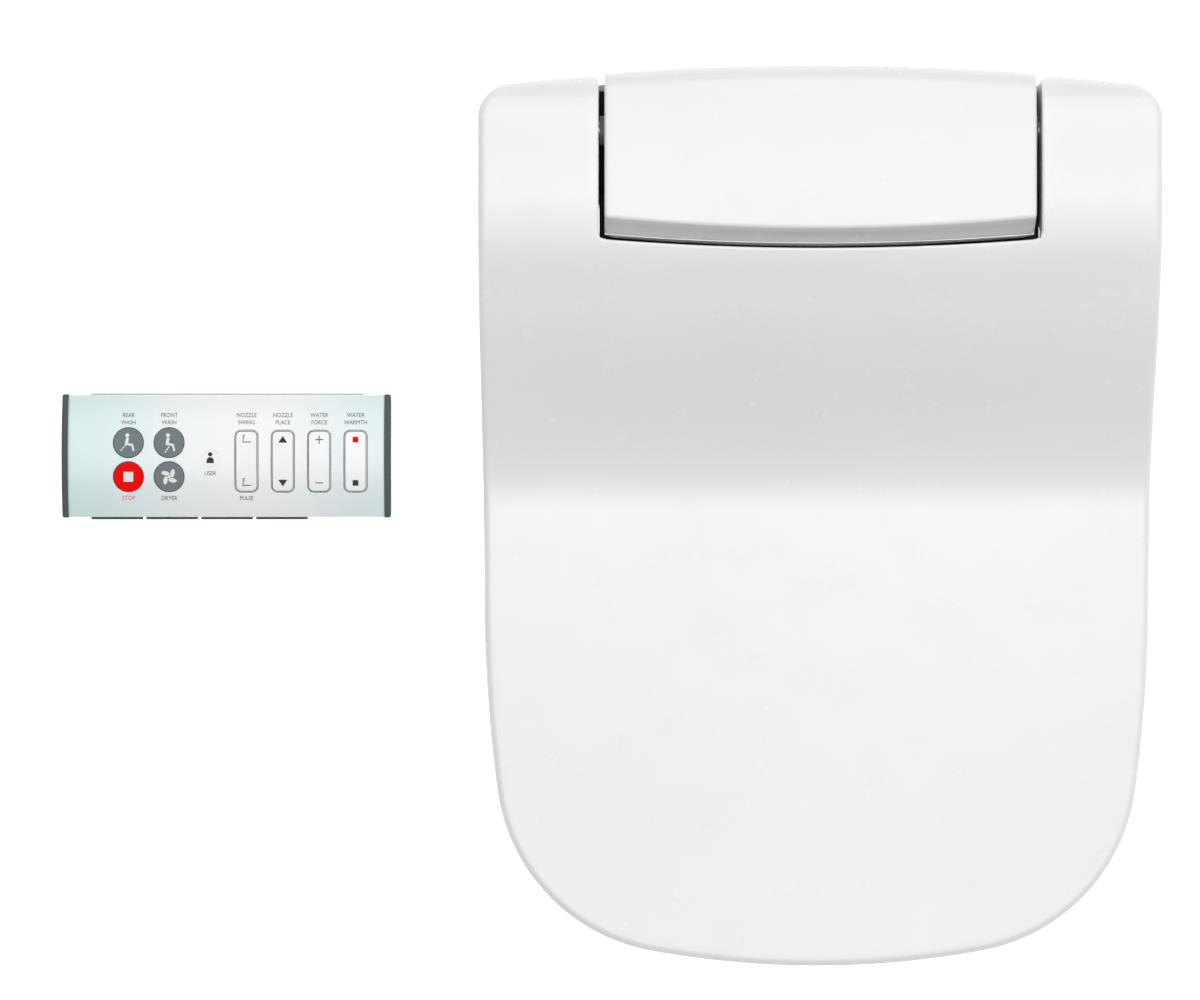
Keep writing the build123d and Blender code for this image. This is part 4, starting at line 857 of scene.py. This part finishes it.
# ------------------------------------------------------------------ settings
class BidetSizes(PropertyGroup):
    """Sizes of the visible shells."""
    lid_rim: FloatProperty(name="Lid rim", description="Rounding of the lid's top edge",
                           default=0.004, min=0.001, max=0.008, unit="LENGTH")
    notch_rim: FloatProperty(name="Notch rim", description="Rounding of the edge round the housing",
                             default=0.0016, min=0.0005, max=0.004, unit="LENGTH")
    wall: FloatProperty(name="Wall", description="Thickness of the lid's wall",
                        default=0.003, min=0.0015, max=0.004, unit="LENGTH")
    lower_edge: FloatProperty(name="Lower edge", description="Rounding of the lid's lower edge",
                              default=0.0006, min=0.0002, max=0.001, unit="LENGTH")
    lip_round: FloatProperty(name="Lip rounding", description="Rounding of the housing cover's front lip",
                             default=0.0015, min=0.0005, max=0.004, unit="LENGTH")
    cover_round: FloatProperty(name="Cover ends", description="Rounding of the housing cover's ends",
                               default=0.0018, min=0.0005, max=0.004, unit="LENGTH")
    # The next two widths belong to the dark strip that is painted shade in the gap under the cover's lip and beside
    # the cover.
    shade_strip_front: FloatProperty(name="Front shade strip", description="Width of the dark shade strip in front of the housing",
                              default=0.0026, min=0.001, max=0.003, unit="LENGTH")
    shade_strip_side: FloatProperty(name="Side shade strip", description="Width of the dark shade strip beside the housing",
                             default=0.003, min=0.001, max=0.0034, unit="LENGTH")
    remote_edge: FloatProperty(name="Remote edge", description="Rounding of the remote's long edges",
                               default=0.001, min=0.0003, max=0.0018, unit="LENGTH")
    key_edge: FloatProperty(name="Key edge", description="Rounding of the keys",
                            default=0.0004, min=0.0002, max=0.0008, unit="LENGTH")


class BidetColours(PropertyGroup):
    """Colours of the finishes."""
    shell: FloatVectorProperty(name="Shell", description="Lid, seat and housing", subtype="COLOR",
                               size=3, default=(0.93, 0.935, 0.94), min=0, max=1)
    remote: FloatVectorProperty(name="Remote", description="Face of the remote", subtype="COLOR",
                                size=3, default=(0.75, 0.92, 0.92), min=0, max=1)
    # Nearly white middle of the remote's face, a painted highlight there; the white keys use it as their own colour.
    remote_middle: FloatVectorProperty(name="Remote middle", description="Middle of the remote's face",
                                       subtype="COLOR", size=3, default=(0.975, 0.99, 0.995), min=0, max=1)
    remote_right: FloatVectorProperty(name="Remote right", description="Right end of the remote's face",
                                      subtype="COLOR", size=3, default=(0.79, 0.9, 0.91), min=0, max=1)
    trim: FloatVectorProperty(name="Trim", description="End caps and edge keys of the remote", subtype="COLOR",
                              size=3, default=(0.1, 0.125, 0.128), min=0, max=1)
    key: FloatVectorProperty(name="Keys", description="Round keys of the remote", subtype="COLOR",
                             size=3, default=(0.21, 0.25, 0.26), min=0, max=1)
    stop: FloatVectorProperty(name="Stop key", description="Key that stops the wash", subtype="COLOR",
                              size=3, default=(0.98, 0.004, 0.004), min=0, max=1)
    print_grey: FloatVectorProperty(name="Print", description="Symbols printed on the remote", subtype="COLOR",
                                    size=3, default=(0.045, 0.055, 0.06), min=0, max=1)


class BidetStage(PropertyGroup):
    """Light and camera."""
    ceiling: FloatProperty(name="Ceiling light", description="Power of the wide light overhead",
                           default=272.0, min=0, max=5000, unit="POWER")
    softbox: FloatProperty(name="Softbox", description="Power of the small light straight overhead",
                           default=11.0, min=0, max=500, unit="POWER")
    sky: FloatProperty(name="Sky", description="Strength of the even white sky", default=0.1, min=0, max=5)
    floor_glow: FloatProperty(name="Floor glow", description="Own light of the floor, as of a lit table",
                              default=0.6, min=0, max=2)
    floor: FloatVectorProperty(name="Floor", description="Colour of the floor", subtype="COLOR",
                               size=3, default=(0.85, 0.85, 0.85), min=0, max=1)
    camera_height: FloatProperty(name="Camera height", description="Height of the camera over the floor",
                                 default=4.3, min=1, max=20, unit="LENGTH")


# ------------------------------------------------------------------ operators
class BIDET_OT_frame_finishes(Operator):
    """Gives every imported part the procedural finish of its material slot"""
    bl_idname = "bidet.frame_finishes"
    bl_label = "Finish packed parts"

    def execute(self, context):
        slots = {row["node"]: row["material_slot"] for row in frame["record"]["subparts"]}
        for name, node in frame["nodes"].items():
            node.data.materials.clear()
            node.data.materials.append(finish_material(slots[name]))
        return {"FINISHED"}


class BIDET_OT_lid(Operator):
    """Builds the lid's shell with its rounded rim, skirt, ears and notch"""
    bl_idname = "bidet.lid"
    bl_label = "Lid"

    def execute(self, context):
        s = context.scene.bidet_sizes
        work = lid_builder(s.lid_rim / MM, s.notch_rim / MM, s.wall / MM, s.lower_edge / MM)
        work.piece("lid_skin", finish_material("white_gloss"), "lid", "white_gloss", ["lid_shell"])
        return {"FINISHED"}


class BIDET_OT_cover(Operator):
    """Builds the fixed housing's cover with its leaning front lip"""
    bl_idname = "bidet.cover"
    bl_label = "Housing cover"

    def execute(self, context):
        s = context.scene.bidet_sizes
        work = cover_builder(s.lip_round / MM, s.cover_round / MM)
        work.piece("cover_skin", finish_material("white_gloss"), "base", "white_gloss", ["housing_cover"])
        # Dark strip in the rubber finish, drawn flat shaded: painted shade for the gap under the cover's lip and
        # beside the cover.
        work = shade_strip_builder(s.shade_strip_front / MM, s.shade_strip_side / MM)
        shade_strip = work.piece("housing_seal", finish_material("rubber"), "base", "rubber")
        shade_strip.data.polygons.foreach_set("use_smooth", np.zeros(len(shade_strip.data.polygons), bool))
        return {"FINISHED"}


class BIDET_OT_remote(Operator):
    """Builds the remote's face with its openings, and its keys"""
    bl_idname = "bidet.remote"
    bl_label = "Remote"

    def execute(self, context):
        s = context.scene.bidet_sizes
        holes = []
        for name, body, x, y, a, b, corner, block in remote_keys():
            flush = name == "user_key"
            gap, proud, edge = (0.06, 0.02, 0.08) if flush else (0.3, 0.3, s.key_edge / MM)
            holes.append((x, y, a + gap, b + gap, corner + gap, *block, 0.08 if flush else 0.35))
            slot = {"stop_key": "key_red", "user_key": "key_white"}.get(name, "key_grey")
            if name.endswith("_rocker"):
                slot = "key_white"
            work = shifted(key_builder(x, y, a, b, corner, proud, edge), REMOTE_X, REMOTE_Y)
            work.piece(name + "_cap", finish_material(slot), body, slot, [name])
        half = (FACE_HIGH[0] - FACE_LOW[0]) / 2
        work = shifted(holed_face(half, holes, 1.9, s.remote_edge / MM), REMOTE_X, REMOTE_Y)
        work.piece("remote_skin", finish_material("remote_panel"), "remote", "remote_white", ["remote_face"])
        return {"FINISHED"}


class BIDET_OT_remote_marks(Operator):
    """Draws the remote's symbols and generic words as thin marks on its keys and face"""
    bl_idname = "bidet.remote_marks"
    bl_label = "Remote marks"

    def execute(self, context):
        remote_marks()
        return {"FINISHED"}


def remote_keys():
    """Name, body, place, half sizes, corner and grid block of every key in the remote's face."""
    low, high = -22.3, 17.4
    rows = []
    for name, x, y, block in (("rear_wash_key", -56.4, 7.6, (-66.2, -46.6, -2.25, high)),
                              ("front_wash_key", -32.9, 7.6, (-42.7, -23.1, -2.25, high)),
                              ("stop_key", -56.4, -12.1, (-66.2, -46.6, low, -2.25)),
                              ("dryer_key", -32.9, -12.1, (-42.7, -23.1, low, -2.25))):
        rows.append((name, name[:-4], x, y, 8.6, 8.6, 8.6, block))
    rows.append(("user_key", "user", -9.1, -1.6, 5.0, 5.0, 5.0, (-15.6, -2.6, -8.1, 4.9)))
    for name, x in (("oscillation", 11.8), ("position", 32.8), ("pressure", 53.8), ("temperature", 74.8)):
        rows.append((name + "_rocker", name, x, -3.1, 6.6, 17.85, 3.4, (x - 7.9, x + 7.9, low, high)))
    return rows


class BIDET_OT_stage(Operator):
    """Sets the floor, the soft studio light and the camera"""
    bl_idname = "bidet.stage"
    bl_label = "Stage"

    def execute(self, context):
        scene, s = context.scene, context.scene.bidet_stage
        mesh = bpy.data.meshes.new("floor")
        size, drop = 8.0, -0.03
        mesh.from_pydata([(-size, -size, drop), (size, -size, drop), (size, size, drop), (-size, size, drop)],
                         [], [(0, 1, 2, 3)])
        floor = bpy.data.objects.new("floor", mesh)
        scene.collection.objects.link(floor)
        material, _, shader = new_material("floor", s.floor, 0.9)
        shader.inputs["Emission Color"].default_value = (1.0, 1.0, 1.0, 1.0)
        shader.inputs["Emission Strength"].default_value = s.floor_glow
        mesh.materials.append(material)

        for name, size, power, place, turn in (("ceiling", 6.0, s.ceiling, (0.6, 0.9, 5.0), (-6, 6)),
                                               ("softbox", 1.5, s.softbox, (0.22, -0.1, 4.9), (0, 0))):
            light = bpy.data.lights.new(name, "AREA")
            light.shape, light.size, light.size_y, light.energy = "RECTANGLE", size, size, power
            lamp = bpy.data.objects.new(name, light)
            lamp.location = place
            lamp.rotation_euler = (radians(turn[0]), radians(turn[1]), 0)
            scene.collection.objects.link(lamp)

        world = bpy.data.worlds.new("studio")
        world.use_nodes = True
        sky = world.node_tree.nodes["Background"]
        sky.inputs["Color"].default_value = (1.0, 1.0, 1.0, 1.0)
        sky.inputs["Strength"].default_value = s.sky
        scene.world = world
        scene.view_settings.view_transform = "Standard"

        camera = bpy.data.cameras.new("camera")
        camera.lens = SENSOR_WIDTH * (s.camera_height - VIEW_LEVEL) / VIEW_WIDTH
        camera.clip_end = 50.0
        camera.dof.use_dof = False
        view = bpy.data.objects.new("camera", camera)
        view.location = (*VIEW_CENTRE, s.camera_height)
        scene.collection.objects.link(view)
        scene.camera = view
        return {"FINISHED"}


class BIDET_PT_panel(Panel):
    """Sidebar panel with the sizes, the colours and one button for each piece"""
    bl_idname = "BIDET_PT_panel"
    bl_label = "Bidet Seat"
    bl_space_type = "VIEW_3D"
    bl_region_type = "UI"
    bl_category = "Bidet Seat"

    def draw(self, context):
        for group in (context.scene.bidet_sizes, context.scene.bidet_colours, context.scene.bidet_stage):
            box = self.layout.box()
            for name in group.__annotations__:
                box.prop(group, name)
        for operator in OPERATORS:
            self.layout.operator(operator.bl_idname)


GROUPS = (("bidet_sizes", BidetSizes), ("bidet_colours", BidetColours), ("bidet_stage", BidetStage))
OPERATORS = (BIDET_OT_frame_finishes, BIDET_OT_lid, BIDET_OT_cover, BIDET_OT_remote, BIDET_OT_remote_marks,
             BIDET_OT_stage)


def register():
    for _, group in GROUPS:
        bpy.utils.register_class(group)
    for operator in (*OPERATORS, BIDET_PT_panel):
        bpy.utils.register_class(operator)
    for name, group in GROUPS:
        setattr(bpy.types.Scene, name, PointerProperty(type=group))


def unregister():
    for name, _ in GROUPS:
        delattr(bpy.types.Scene, name)
    for item in (BIDET_PT_panel, *reversed(OPERATORS), *[g for _, g in reversed(GROUPS)]):
        bpy.utils.unregister_class(item)


def main():
    register()
    for name in ("frame_finishes", "lid", "cover", "remote", "remote_marks", "stage"):
        getattr(bpy.ops.bidet, name)()


if __name__ == "__main__":
    main()
